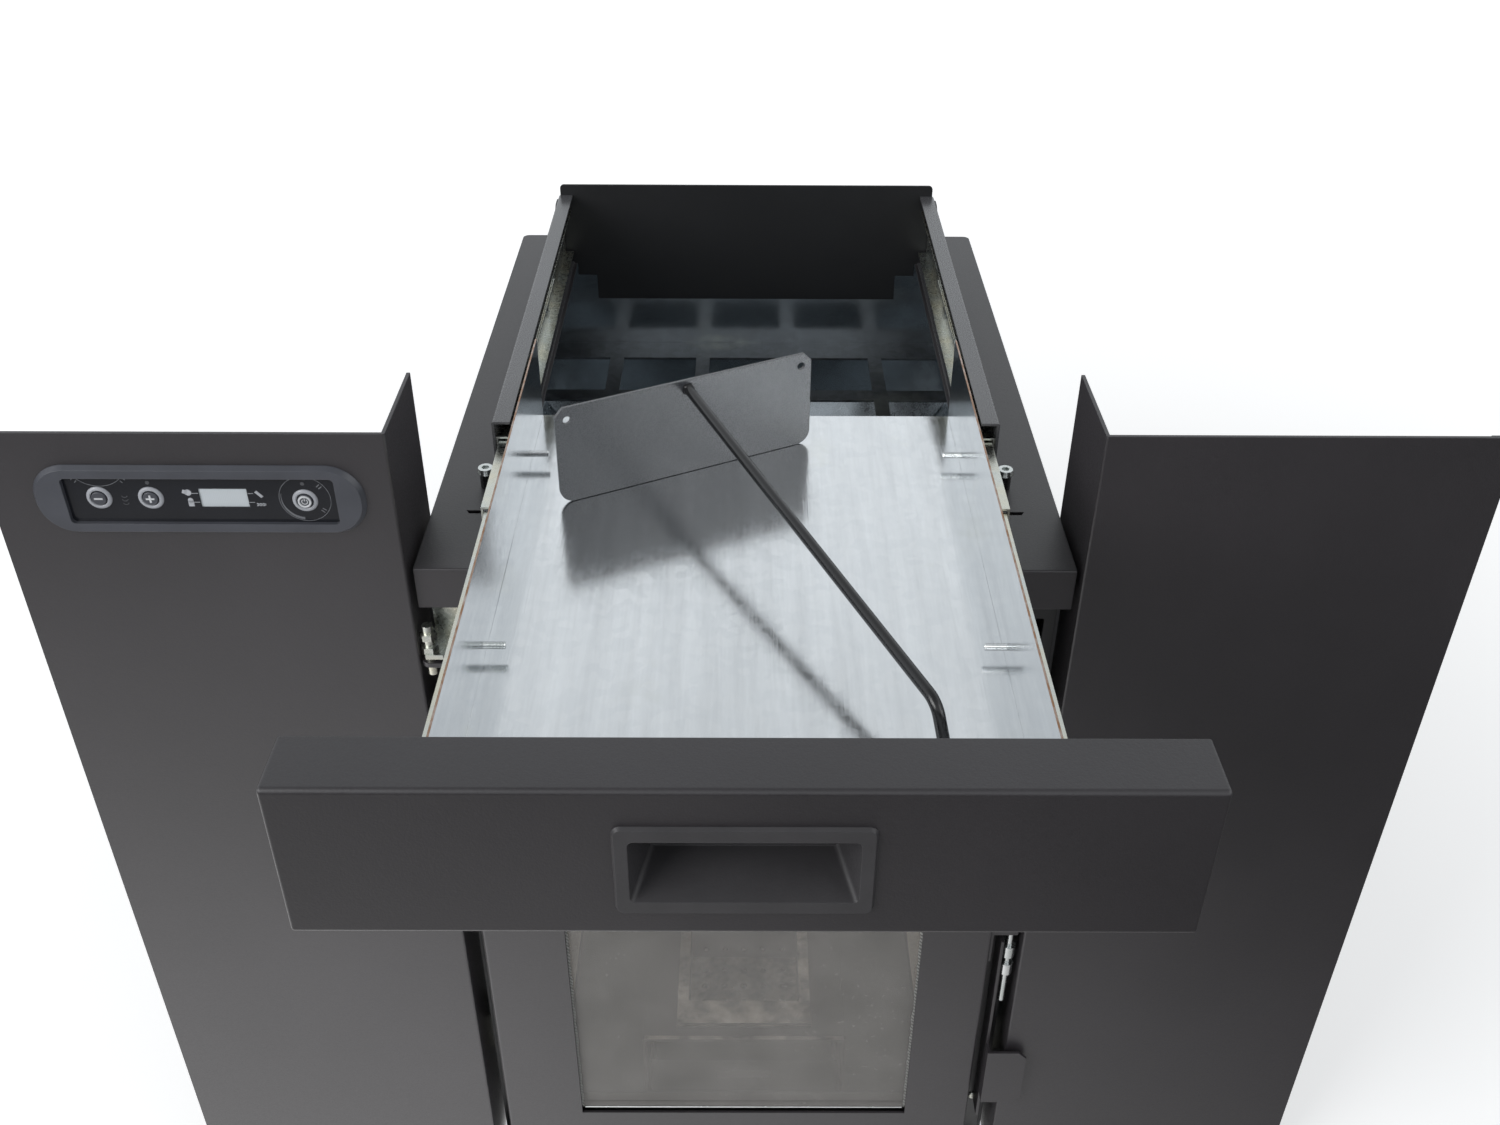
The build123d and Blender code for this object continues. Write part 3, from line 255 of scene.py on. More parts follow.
# Materials
class Finish:
    """One material: a Principled shader whose details come from nodes in object metres.

    The scale of a noise, of cells or of waves is in repeats per metre.
    """

    def __init__(self, name, colour, roughness, metallic=0.0):
        self.material = bpy.data.materials.new(name)
        self.material.use_nodes = True
        self.tree = self.material.node_tree
        self.shader = self.tree.nodes["Principled BSDF"]
        self.set("Base Color", colour)
        self.set("Roughness", roughness)
        self.set("Metallic", metallic)
        self.place = self.node("ShaderNodeTexCoord").outputs["Object"]

    def node(self, kind, inputs=None, **settings):
        return linked(self.tree, kind, inputs, **settings)

    def set(self, name, value):
        feed(self.tree, self.shader.inputs[name], value)

    def stretched(self, x=1.0, y=1.0, z=1.0):
        mapping = self.node("ShaderNodeMapping", {"Vector": self.place, "Scale": (x, y, z)})
        return mapping.outputs["Vector"]

    def noise(self, scale, detail=3.0, rough=0.55, place=None):
        made = self.node("ShaderNodeTexNoise", {"Vector": place or self.place, "Scale": scale,
                                                "Detail": detail, "Roughness": rough})
        return made.outputs["Fac"]

    def cells(self, scale, place=None, output="Color"):
        inputs = {"Vector": place or self.place, "Scale": scale}
        return self.node("ShaderNodeTexVoronoi", inputs).outputs[output]

    def cell_tones(self, scale):
        """A flat random value for each cell."""
        return self.node("ShaderNodeSeparateColor", {"Color": self.cells(scale)}).outputs["Red"]

    def waves(self, scale, direction, distortion=0.0):
        inputs = {"Vector": self.place, "Scale": scale, "Distortion": distortion}
        return self.node("ShaderNodeTexWave", inputs, bands_direction=direction).outputs["Fac"]

    def height(self):
        return self.node("ShaderNodeSeparateXYZ", {"Vector": self.place}).outputs["Z"]

    def facing_up(self):
        around = self.node("ShaderNodeTexCoord").outputs["Normal"]
        return self.node("ShaderNodeSeparateXYZ", {"Vector": around}).outputs["Z"]

    def span(self, value, low, high, to_low=0.0, to_high=1.0):
        return ranged(self.tree, value, low, high, to_low, to_high)

    def add(self, first, second):
        return worked(self.tree, "ADD", first, second)

    def times(self, first, second):
        return worked(self.tree, "MULTIPLY", first, second)

    def mix(self, share, first, second):
        return mixed(self.tree, "RGBA", share, first, second)

    def bump(self, height, strength, depth, soft_edge=0.0):
        """Bump of a depth in metres, over edges that look rounded by a radius in metres."""
        made = self.node("ShaderNodeBump", {"Height": height, "Strength": strength, "Distance": depth})
        if soft_edge:
            bevel = self.node("ShaderNodeBevel", {"Radius": soft_edge}, samples=4)
            feed(self.tree, made.inputs["Normal"], bevel.outputs["Normal"])
        self.set("Normal", made.outputs["Normal"])


def powder_coat(name, colour, roughness=0.42, grain=1.0):
    """Fine textured powder coat: orange peel, specks and a faint unevenness."""
    finish = Finish(name, colour, roughness)
    cloud = finish.noise(3.5, detail=4.0)
    speck = finish.noise(1400.0, detail=2.0)
    lighter = tuple(channel * 1.22 + 0.002 for channel in colour)
    darker = scaled(colour, 0.84)
    dust_grey = (0.35, 0.34, 0.33)
    tone = finish.mix(finish.span(cloud, 0.35, 0.65), darker, lighter)
    dust = finish.span(finish.cells(260.0, output="Distance"), 0.03, 0.0, 0.0, 0.16)
    finish.set("Base Color", finish.mix(dust, tone, dust_grey))
    finish.set("Roughness", finish.span(speck, 0.3, 0.7, roughness - 0.06, roughness + 0.08))
    peel = finish.add(finish.noise(900.0, detail=2.0), finish.times(finish.noise(260.0), 0.7))
    finish.bump(peel, strength=0.22 * grain, depth=0.0003, soft_edge=0.0006)
    return finish


def zinc(name, colour=(0.66, 0.69, 0.71), roughness=0.24, streak=1.0):
    """Galvanised sheet: rolled streaks, soft spangle, small scratches and stains."""
    finish = Finish(name, colour, roughness, 1.0)
    rolled = finish.noise(9.0, detail=6.0, rough=0.7, place=finish.stretched(9.0, 0.55, 9.0))
    fine = finish.noise(60.0, detail=4.0, rough=0.7, place=finish.stretched(16.0, 0.5, 16.0))
    spangle = finish.cell_tones(170.0)
    stain = finish.noise(14.0, detail=5.0, rough=0.65)
    pale = tuple(min(1.0, channel) for channel in scaled(colour, 1.07))
    dull = scaled(colour, 0.88)
    spangle_grey = (0.52, 0.56, 0.60)
    stain_yellow = (0.60, 0.61, 0.52)
    tone = finish.mix(finish.span(rolled, 0.3, 0.7), dull, pale)
    tone = finish.mix(finish.span(spangle, 0.0, 1.0, 0.0, 0.14), tone, spangle_grey)
    tone = finish.mix(finish.span(stain, 0.58, 0.78, 0.0, 0.35), tone, stain_yellow)
    finish.set("Base Color", tone)
    worn = finish.add(finish.span(fine, 0.3, 0.75, 0.0, 0.10 * streak),
                      finish.span(spangle, 0.0, 1.0, 0.0, 0.05))
    finish.set("Roughness", finish.add(worn, roughness))
    scratch = finish.noise(700.0, detail=1.0, rough=0.5, place=finish.stretched(y=0.03))
    ripple = finish.add(finish.span(scratch, 0.62, 0.7), finish.times(rolled, 0.6))
    finish.bump(ripple, strength=0.05 * streak, depth=0.0004, soft_edge=0.0004)
    return finish


def tray_zinc():
    """The drawer's sheet, with rust-brown cut edges along its top."""
    finish = zinc("tray_zinc", (0.715, 0.732, 0.745), 0.12, 0.6)
    rust = (0.30, 0.15, 0.07)
    tone = finish.shader.inputs["Base Color"].links[0].from_socket
    patches = finish.span(finish.noise(120.0), 0.25, 0.6, 0.45, 1.0)
    edge = finish.times(finish.span(finish.height(), *TRAY_EDGE), patches)
    finish.set("Base Color", finish.mix(edge, tone, rust))
    finish.set("Metallic", finish.span(edge, 0.0, 1.0, 1.0, 0.25))
    return finish


def plated(name, colour=(0.62, 0.60, 0.50), roughness=0.26):
    """Zinc plating with a yellow-green passivation that drifts in hue."""
    finish = Finish(name, colour, roughness, 1.0)
    drift = finish.noise(38.0, detail=4.0, rough=0.6)
    blue_grey = (0.56, 0.592, 0.576)
    finish.set("Base Color", finish.mix(finish.span(drift, 0.35, 0.65), colour, blue_grey))
    fine = finish.noise(400.0)
    finish.set("Roughness", finish.span(fine, 0.3, 0.7, roughness - 0.05, roughness + 0.1))
    finish.bump(finish.noise(900.0, detail=2.0), strength=0.08, depth=0.0002, soft_edge=0.0003)
    return finish


def stove_paint():
    """Satin black paint on the casing, with scuffs."""
    finish = Finish("stove_paint", (0.035, 0.035, 0.037), 0.5)
    black = (0.032, 0.032, 0.034)
    scuffed = (0.09, 0.088, 0.085)
    scuff = finish.span(finish.noise(26.0, detail=6.0, rough=0.75), 0.6, 0.72, 0.0, 0.35)
    finish.set("Base Color", finish.mix(scuff, black, scuffed))
    finish.set("Roughness", finish.span(finish.noise(180.0, detail=4.0), 0.3, 0.7, 0.42, 0.58))
    finish.bump(finish.noise(700.0, detail=2.0), strength=0.15, depth=0.0003, soft_edge=0.0006)
    return finish


def fired_steel(name, ash_and_lit_tone):
    """Heat-proof grey steel with heat tint, and ash on what faces up; a pale ash tone, as on the pot,
    is also painted light on the upward faces.
    """
    finish = Finish(name, (0.11, 0.105, 0.10), 0.62, 0.6)
    heat = finish.noise(18.0, detail=5.0, rough=0.6)
    sooty = (0.030, 0.029, 0.028)
    burnt = (0.085, 0.078, 0.07)
    tone = finish.mix(finish.span(heat, 0.35, 0.65), sooty, burnt)
    # Ash on what faces up; with the pot's pale tone it is also painted light on the upward faces
    ash_and_lit_top = finish.times(finish.span(finish.facing_up(), 0.4, 1.0),
                       finish.span(finish.noise(55.0, detail=5.0), 0.35, 0.7))
    finish.set("Base Color", finish.mix(ash_and_lit_top, tone, ash_and_lit_tone))
    finish.set("Metallic", finish.span(ash_and_lit_top, 0.0, 1.0, 0.6, 0.0))
    scale = finish.noise(500.0, detail=4.0, rough=0.7)
    finish.bump(scale, strength=0.3, depth=0.0004, soft_edge=0.0005)
    return finish


def mineral_board():
    """Pressed vermiculite: flakes, crumbs and soot that thickens upwards."""
    finish = Finish("mineral_board", (0.52, 0.46, 0.38), 0.92)
    flake = finish.cell_tones(420.0)
    dark_flake = (0.38, 0.33, 0.26)
    pale_flake = (0.66, 0.58, 0.46)
    soot_black = (0.07, 0.065, 0.06)
    tone = finish.mix(finish.span(flake, 0.0, 1.0), dark_flake, pale_flake)
    soot = finish.times(finish.span(finish.height(), 0.18, 0.42, 0.25, 0.8),
                        finish.span(finish.noise(16.0, detail=5.0), 0.3, 0.65, 0.5, 1.0))
    finish.set("Base Color", finish.mix(soot, tone, soot_black))
    finish.bump(finish.add(flake, finish.noise(300.0, detail=4.0)), strength=0.5, depth=0.0008)
    return finish


def fire_glass():
    """Ceramic pane whose film of ash covers part of the view into the fire."""
    finish = Finish("fire_glass", (0.42, 0.40, 0.375), 0.12)
    wiped = finish.noise(7.0, detail=6.0, rough=0.65, place=finish.stretched(z=0.6))
    cloud = finish.noise(30.0, detail=5.0, rough=0.6)
    thick_film = (0.31, 0.295, 0.28)
    thin_film = (0.42, 0.40, 0.38)
    finish.set("Base Color", finish.mix(finish.span(cloud, 0.3, 0.7), thick_film, thin_film))
    specks = finish.span(finish.noise(420.0, detail=2.0), 0.64, 0.74, 0.0, 0.2)
    lower = finish.span(finish.height(), 0.30, 0.08, 0.0, 0.06)
    share = finish.add(finish.span(wiped, 0.3, 0.7, 0.25, 0.36), specks)
    finish.set("Alpha", finish.add(share, lower))
    finish.bump(cloud, strength=0.02, depth=0.0002)
    return finish


def braided_rope():
    """Glass-fibre rope seal: diagonal strands."""
    finish = Finish("braided_rope", (0.34, 0.34, 0.33), 0.95)
    strands = finish.waves(190.0, "DIAGONAL", 1.5)
    gap_grey = (0.16, 0.16, 0.155)
    fibre = (0.44, 0.44, 0.42)
    finish.set("Base Color", finish.mix(strands, gap_grey, fibre))
    finish.bump(strands, strength=0.6, depth=0.001)
    return finish


def moulded(name, colour, roughness, grain=0.12):
    """Moulded plastic or thick ink with a fine grain."""
    finish = Finish(name, colour, roughness)
    cloud = finish.span(finish.noise(40.0), 0.3, 0.7)
    finish.set("Base Color", finish.mix(cloud, scaled(colour, 0.88), scaled(colour, 1.12)))
    fine = finish.noise(1100.0, detail=2.0)
    finish.set("Roughness", finish.span(fine, 0.3, 0.7, roughness - 0.05, roughness + 0.07))
    finish.bump(finish.noise(1300.0, detail=2.0), strength=grain, depth=0.0002, soft_edge=0.0005)
    return finish


def display():
    """Unlit grey display with a faint grid of cells."""
    finish = Finish("display", (0.53, 0.57, 0.60), 0.18)
    rows = finish.span(finish.waves(330.0, "X"), 0.0, 1.0, 0.0, 0.25)
    pale_cell = (0.56, 0.60, 0.63)
    dark_cell = (0.45, 0.49, 0.52)
    finish.set("Base Color", finish.mix(rows, pale_cell, dark_cell))
    finish.bump(finish.noise(40.0), strength=0.02, depth=0.0002)
    return finish


def cast_metal():
    """Pressed and cast motor metal."""
    finish = Finish("cast_metal", (0.42, 0.42, 0.43), 0.42, 0.9)
    dull = (0.33, 0.33, 0.34)
    pale = (0.52, 0.52, 0.52)
    finish.set("Base Color", finish.mix(finish.noise(30.0, detail=5.0), dull, pale))
    finish.set("Roughness", finish.span(finish.noise(240.0, detail=4.0), 0.3, 0.7, 0.34, 0.55))
    finish.bump(finish.noise(650.0), strength=0.2, depth=0.0003, soft_edge=0.0005)
    return finish


def board_green():
    """Circuit board with copper tracks under its mask."""
    finish = Finish("board_green", (0.02, 0.12, 0.05), 0.35)
    cells = finish.cells(150.0, finish.stretched(z=0.35), "Distance")
    track = finish.span(cells, 0.32, 0.36)
    mask = (0.02, 0.13, 0.05)
    copper_mask = (0.04, 0.20, 0.08)
    finish.set("Base Color", finish.mix(track, mask, copper_mask))
    finish.bump(track, strength=0.2, depth=0.0002)
    return finish


coat = powder_coat("coat", (0.0235, 0.0205, 0.0235))
coat_fine = powder_coat("coat_fine", (0.018, 0.0175, 0.0185), 0.38, 0.6)
# The pusher blade's coat is the black powder coat painted lighter: painted light standing in for the
# light the tray throws up onto the blade
blade_coat_painted_light = powder_coat("blade_coat_painted_light", (0.050, 0.053, 0.060), 0.27, 0.5)
# The side channels' coat is the black powder coat painted lighter: painted light standing in for the
# sky light on the channels' lip tops
channel_coat_painted_light = powder_coat("channel_coat_painted_light", (0.082, 0.082, 0.087), 0.26, 0.4)
hood_coat = powder_coat("hood_coat", (0.008, 0.008, 0.009), 0.42, 0.6)
rod_black = powder_coat("rod_black", (0.012, 0.012, 0.013), 0.2, 0.4)
for finish in (coat, coat_fine, channel_coat_painted_light):
    finish.set("IOR", COAT_IOR)
blade_coat_painted_light.set("Specular IOR Level", 1.0)
sheet_zinc = zinc("sheet_zinc")
tank_zinc = zinc("tank_zinc", (0.58, 0.62, 0.65), 0.14, 0.6)
grid_zinc = zinc("grid_zinc", (0.15, 0.155, 0.16), 0.34)
funnel_zinc = zinc("funnel_zinc", (0.42, 0.46, 0.49), 0.2)
drawer_zinc = tray_zinc()
plating = plated("plating")
bright_plating = plated("bright_plating", (0.72, 0.73, 0.74), 0.20)
paint = stove_paint()
fired = fired_steel("fired", (0.055, 0.05, 0.045))
# The pot's near-white, warm ash tone is real ash brightened into painted light, standing in for the
# light that reaches the pot through the pane
pot_steel = fired_steel("pot_steel", (0.95, 0.84, 0.72))
board = mineral_board()
pane = fire_glass()
rope = braided_rope()
plastic = moulded("plastic", (0.062, 0.065, 0.078), 0.34)
cup_plastic = moulded("cup_plastic", (0.044, 0.042, 0.045), 0.44, 0.2)
smoked = moulded("smoked", (0.012, 0.013, 0.017), 0.14, 0.0)
lcd_face = display()
motor = cast_metal()
circuit = board_green()
print_ink = moulded("print_ink", (0.42, 0.43, 0.46), 0.5)
silver_ink = moulded("silver_ink", (0.36, 0.37, 0.40), 0.35)
pale_ink = moulded("pale_ink", (0.62, 0.63, 0.65), 0.4)
faint_ink = moulded("faint_ink", (0.16, 0.165, 0.18), 0.5)
ghost_ink = moulded("ghost_ink", (0.07, 0.072, 0.08), 0.5)

NODE_FINISH = {
    coat: ["surround_panel_left", "surround_panel_right", "top_plate", "drawer_fascia", "door_frame",
           "latch_handle", "latch_bracket"],
    coat_fine: ["front_frame"],
    channel_coat_painted_light: ["side_channels"],
    hood_coat: ["hood_plate"],
    blade_coat_painted_light: ["pusher_blade"],
    rod_black: ["pusher_rod", "lifting_spacers"],
    grid_zinc: ["hopper_grid"],
    sheet_zinc: ["auger_tube", "exhaust_fan_housing", "smoke_duct", "air_inlet_pipe", "blower_housing"],
    tank_zinc: ["hopper_tank"],
    funnel_zinc: ["hopper_funnel"],
    drawer_zinc: ["drawer_tray"],
    plating: ["slide_outers", "slide_middles", "slide_inners", "panel_fixings", "igniter",
              "door_hinges"],
    bright_plating: ["lifting_screws", "tray_screws", "latch_sleeves", "latch_pin"],
    paint: ["base_plate", "side_casings", "rear_casing", "flue_spigot"],
    fired: ["firebox", "pot_holder", "ash_pan", "auger_screw", "door_inner_panel"],
    pot_steel: ["burn_pot"],
    board: ["firebox_liners"],
    pane: ["door_glass"],
    rope: ["door_gasket"],
    plastic: ["control_bezel", "control_housing", "power_inlet", "button_minus", "button_plus",
              "button_power"],
    cup_plastic: ["handle_cup"],
    smoked: ["control_window"],
    lcd_face: ["lcd_display"],
    motor: ["auger_gearmotor", "exhaust_impeller", "exhaust_motor", "blower_wheel", "blower_motor"],
    circuit: ["control_board"],
}
for finish, names in NODE_FINISH.items():
    for name in names:
        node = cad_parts[name]
        node.data.materials.clear()
        node.data.materials.append(finish.material)


# Mesh helpers, which take millimetres
def in_mm(corners):
    """A node's lowest and highest corners as lists of millimetres."""
    return [[value / MM for value in corner] for corner in corners]


def piece(name, mesh, finish, body, smooth=True):
    """Turns a bmesh into a named piece that rides on a body."""
    data = bpy.data.meshes.new(name)
    bmesh.ops.recalc_face_normals(mesh, faces=mesh.faces)
    bmesh.ops.scale(mesh, vec=(MM, MM, MM), verts=mesh.verts)
    mesh.to_mesh(data)
    mesh.free()
    data.materials.append(finish.material)
    for polygon in data.polygons:
        polygon.use_smooth = smooth
    made = bpy.data.objects.new(name, data)
    bpy.context.scene.collection.objects.link(made)
    if smooth:
        data.set_sharp_from_angle(angle=math.radians(SHARP))
    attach(made, body)
    return made


def axes_of(direction):
    """A matrix whose Z column is the direction."""
    return Vector(direction).to_track_quat("Z", "Y").to_matrix().to_4x4()


def on_circle(place, radius, height, step, steps):
    """One of a number of points round an axis."""
    angle = 2 * math.pi * step / steps
    return place @ Vector((radius * math.cos(angle), radius * math.sin(angle), height))


def bridge(mesh, first, second):
    """Joins two closed rings of vertices with a band of faces."""
    count = len(first)
    for side in range(count):
        after = (side + 1) % count
        mesh.faces.new((first[side], first[after], second[after], second[side]))


def turned(mesh, profile, centre, direction, steps):
    """Spins a profile of (radius, height) points round an axis and caps its ends."""
    place = Matrix.Translation(centre) @ axes_of(direction)
    rings = [[mesh.verts.new(on_circle(place, radius, height, step, steps)) for step in range(steps)]
             for radius, height in profile]
    for lower, upper in zip(rings, rings[1:]):
        bridge(mesh, lower, upper)
    for ring in (rings[0], rings[-1]):
        mesh.faces.new(ring)


def lathe_ring(mesh, profile, centre, direction, steps=48):
    """Spins a closed profile of (radius, height) points into a ring."""
    place = Matrix.Translation(centre) @ axes_of(direction)
    rows = [[mesh.verts.new(on_circle(place, radius, height, step, steps))
             for radius, height in profile] for step in range(steps)]
    for first, second in zip(rows, rows[1:] + rows[:1]):
        bridge(mesh, first, second)


def closed_strip(mesh, rows):
    """Joins rows of vertices into a bar and caps its ends."""
    for first, second in zip(rows, rows[1:]):
        bridge(mesh, first, second)
    mesh.faces.new(rows[0])
    mesh.faces.new(rows[-1])


def slab(mesh, low, high, edge):
    """A box between two corners with bevelled edges."""
    size = Vector(high) - Vector(low)
    middle = (Vector(high) + Vector(low)) / 2
    place = Matrix.Translation(middle) @ Matrix.Diagonal((*size, 1.0))
    made = bmesh.ops.create_cube(mesh, size=1.0, matrix=place)
    edges = {link for vertex in made["verts"] for link in vertex.link_edges}
    bmesh.ops.bevel(mesh, geom=list(edges), offset=edge, segments=2, affect="EDGES", profile=0.6)


def screw_head(mesh, at, direction, radius, height, recess=True):
    """A domed screw head with a cross recess, its base at a point."""
    rim = 0.25
    dome = [(radius, 0.0), (radius, height * rim)]
    for step in range(1, 7):
        angle = math.radians(15 * step)
        dome.append((radius * math.cos(angle * 0.82), height * (rim + (1 - rim) * math.sin(angle))))
    turned(mesh, dome, at, direction, HEAD_STEPS)
    if recess:
        place = Matrix.Translation(at) @ axes_of(direction)
        lift = Matrix.Translation((0, 0, height * 0.98))
        size = Matrix.Diagonal((radius * 1.1, radius * 0.22, height * 0.12, 1.0))
        for turn in (0.0, math.pi / 2):
            arm = Matrix.Rotation(turn, 4, "Z")
            bmesh.ops.create_cube(mesh, size=1.0, matrix=place @ arm @ lift @ size)


# Camera and light
def make_camera():
    """The camera at the photograph's place and angle."""
    pitch = math.radians(CAMERA_PITCH)
    yaw = math.radians(CAMERA_YAW)
    roll = math.radians(CAMERA_ROLL)
    ahead = Vector((math.sin(yaw) * math.cos(pitch), math.cos(yaw) * math.cos(pitch), -math.sin(pitch)))
    level = Vector((math.cos(yaw), -math.sin(yaw), 0.0))
    above = level.cross(ahead)
    right = level * math.cos(roll) + above * math.sin(roll)
    up = above * math.cos(roll) - level * math.sin(roll)
    data = bpy.data.cameras.new("camera")
    data.lens = LENS
    data.sensor_width = SENSOR
    camera = bpy.data.objects.new("camera", data)
    bpy.context.scene.collection.objects.link(camera)
    turn = Matrix((right, up, -ahead)).transposed().to_4x4()
    camera.matrix_world = Matrix.Translation(Vector(CAMERA_AT) * MM) @ turn
    bpy.context.scene.camera = camera


def softbox(name, place, target, side, power):
    """A square area lamp that faces a target."""
    data = bpy.data.lights.new(name, "AREA")
    data.shape = "SQUARE"
    data.size = side
    data.energy = power
    lamp = bpy.data.objects.new(name, data)
    lamp.location = place
    lamp.rotation_euler = (Vector(target) - Vector(place)).to_track_quat("-Z", "Y").to_euler()
    bpy.context.scene.collection.objects.link(lamp)


def make_world():
    """White to the camera and through glass, dimmer overhead in reflections, soft in shade."""
    world = bpy.data.worlds.new("studio")
    bpy.context.scene.world = world
    world.use_nodes = True
    tree = world.node_tree
    background = tree.nodes["Background"]
    rays = linked(tree, "ShaderNodeLightPath").outputs
    toward = linked(tree, "ShaderNodeTexCoord").outputs["Generated"]
    rise = linked(tree, "ShaderNodeSeparateXYZ", {"Vector": toward}).outputs["Z"]
    lower = ranged(tree, rise, SKY_LOW, SKY_MID, SKY_BRIGHT, SKY_SOFT)
    upper = ranged(tree, rise, SKY_MID, 1.0, 1.0, SKY_TOP)
    sky = worked(tree, "MULTIPLY", lower, upper)
    seen = worked(tree, "MAXIMUM", rays["Is Camera Ray"], rays["Is Transmission Ray"])
    shade = mixed(tree, "FLOAT", rays["Is Glossy Ray"], SKY_SHADE, sky)
    feed(tree, background.inputs["Strength"], mixed(tree, "FLOAT", seen, shade, 1.0))
    feed(tree, background.inputs["Color"], mixed(tree, "RGBA", seen, SKY_TINT, WHITE))


def make_floor():
    """A pale floor that looks white, keeps the shadow, and lights glossy faces with a pool."""
    mesh = bmesh.new()
    bmesh.ops.create_circle(mesh, cap_ends=True, segments=FLOOR_SIDES, radius=FLOOR_RADIUS)
    bmesh.ops.scale(mesh, vec=(MM, MM, MM), verts=mesh.verts)
    data = bpy.data.meshes.new("floor")
    mesh.to_mesh(data)
    mesh.free()
    floor = bpy.data.objects.new("floor", data)
    floor.location.z = cad_low.z - FLOOR_GAP
    bpy.context.scene.collection.objects.link(floor)
    material = bpy.data.materials.new("pale_floor")
    material.use_nodes = True
    tree = material.node_tree
    shader = tree.nodes["Principled BSDF"]
    shader.inputs["Base Color"].default_value = FLOOR_GREY
    shader.inputs["Roughness"].default_value = FLOOR_ROUGHNESS
    shader.inputs["Specular IOR Level"].default_value = FLOOR_SPECULAR
    shader.inputs["Emission Color"].default_value = (*WHITE, 1)
    rays = linked(tree, "ShaderNodeLightPath").outputs
    here = linked(tree, "ShaderNodeNewGeometry").outputs["Position"]
    away = distance(tree, here, (0.0, 0.0, 0.0))
    lift = ranged(tree, away, NEAR_REACH, FAR_REACH, FLOOR_NEAR, FLOOR_FAR)
    white = worked(tree, "MULTIPLY", lift, rays["Is Camera Ray"])
    feed(tree, shader.inputs["Emission Strength"], white)
    pool = ranged(tree, distance(tree, here, POOL_AT), POOL_IN, POOL_OUT, POOL_BRIGHT, POOL_DIM,
                  interpolation_type="SMOOTHSTEP")
    glow = linked(tree, "ShaderNodeEmission", {"Strength": pool}).outputs["Emission"]
    both = linked(tree, "ShaderNodeMixShader",
                  {0: rays["Is Glossy Ray"], 1: shader.outputs["BSDF"], 2: glow})
    feed(tree, tree.nodes["Material Output"].inputs["Surface"], both.outputs["Shader"])
    data.materials.append(material)


# Control panel: rings round the keys, their glyphs and the printed marks
def arc(mesh, centre, radius, width, start, end, y, steps=28):
    """A thin printed arc, its angles in degrees from +X towards +Z."""
    rows = []
    front = Vector((0, -INK, 0))
    for step in range(steps + 1):
        angle = math.radians(start + (end - start) * (step / steps))
        around = Vector((math.cos(angle), 0, math.sin(angle)))
        middle = Vector((centre[0], y, centre[1])) + around * radius
        half = around * width / 2
        corners = (-half, half, half + front, front - half)
        rows.append([mesh.verts.new(middle + offset) for offset in corners])
    closed_strip(mesh, rows)


def bar(mesh, centre, width, height, y, turn=0.0, thick=INK):
    """A thin printed bar, turned in the face by degrees."""
    place = Matrix.Translation((centre[0], y - thick / 2, centre[1]))
    lean = Matrix.Rotation(math.radians(turn), 4, "Y")
    size = Matrix.Diagonal((width, thick, height, 1.0))
    bmesh.ops.create_cube(mesh, size=1.0, matrix=place @ lean @ size)


def dot(mesh, centre, radius):
    """A printed dot on the window."""
    turned(mesh, [(radius, 0.0), (radius, INK)], (centre[0], WINDOW_Y, centre[1]), FRONTWARD, DOT_STEPS)


def tick(mesh, centre, radius, degrees, length, width):
    """A printed tick that points to a centre on the window."""
    angle = math.radians(degrees)
    at = Vector(centre) + Vector((math.cos(angle), math.sin(angle))) * radius
    bar(mesh, at, length, width, WINDOW_Y, turn=-degrees)


def key_rings():
    """Raised silver rings round the three keys."""
    profile = [(RING_IN, 0.0), (RING_IN, 0.75), (RING_IN + 0.5, 1.1), (RING_OUT - 1.0, 1.0),
               (RING_OUT - 0.25, 0.55), (RING_OUT, 0.0)]
    for name, (x, z) in KEYS.items():
        mesh = bmesh.new()
        lathe_ring(mesh, profile, (x, WINDOW_Y, z), FRONTWARD)
        piece(f"key_ring_{name}", mesh, silver_ink, "casing")


def key_glyphs():
    """Minus, plus and power signs, which move with their keys."""
    mesh = bmesh.new()
    bar(mesh, KEYS["minus"], SIGN, SIGN_WIDE, KEY_FRONT)
    piece("glyph_minus", mesh, pale_ink, "minus_key", smooth=False)
    mesh = bmesh.new()
    bar(mesh, KEYS["plus"], SIGN, SIGN_WIDE, KEY_FRONT)
    bar(mesh, KEYS["plus"], SIGN_WIDE, SIGN, KEY_FRONT, thick=INK * 1.2)
    piece("glyph_plus", mesh, pale_ink, "plus_key", smooth=False)
    mesh = bmesh.new()
    x, z = KEYS["power"]
    ridge = [(2.5, 0.0), (2.5, 0.3), (2.9, 0.55), (3.5, 0.4), (3.6, 0.0)]
    lathe_ring(mesh, ridge, (x, KEY_FRONT, z), FRONTWARD)
    arc(mesh, (x, z), 1.5, 0.5, 125, 415, KEY_FRONT)
    bar(mesh, (x, z + 1.2), 0.5, 1.7, KEY_FRONT, thick=INK * 1.3)
    piece("glyph_power", mesh, pale_ink, "power_key")


def print_scale():
    """An arc with end ticks over the minus key."""
    centre = (-340.0, 625.0)
    mesh = bmesh.new()
    arc(mesh, centre, 16.6, 0.35, 226, 316, WINDOW_Y)
    for degrees in (222, 229, 311, 318, 325):
        tick(mesh, centre, 18.4, degrees, 1.7, 0.45)
    piece("print_scale", mesh, faint_ink, "casing", smooth=False)


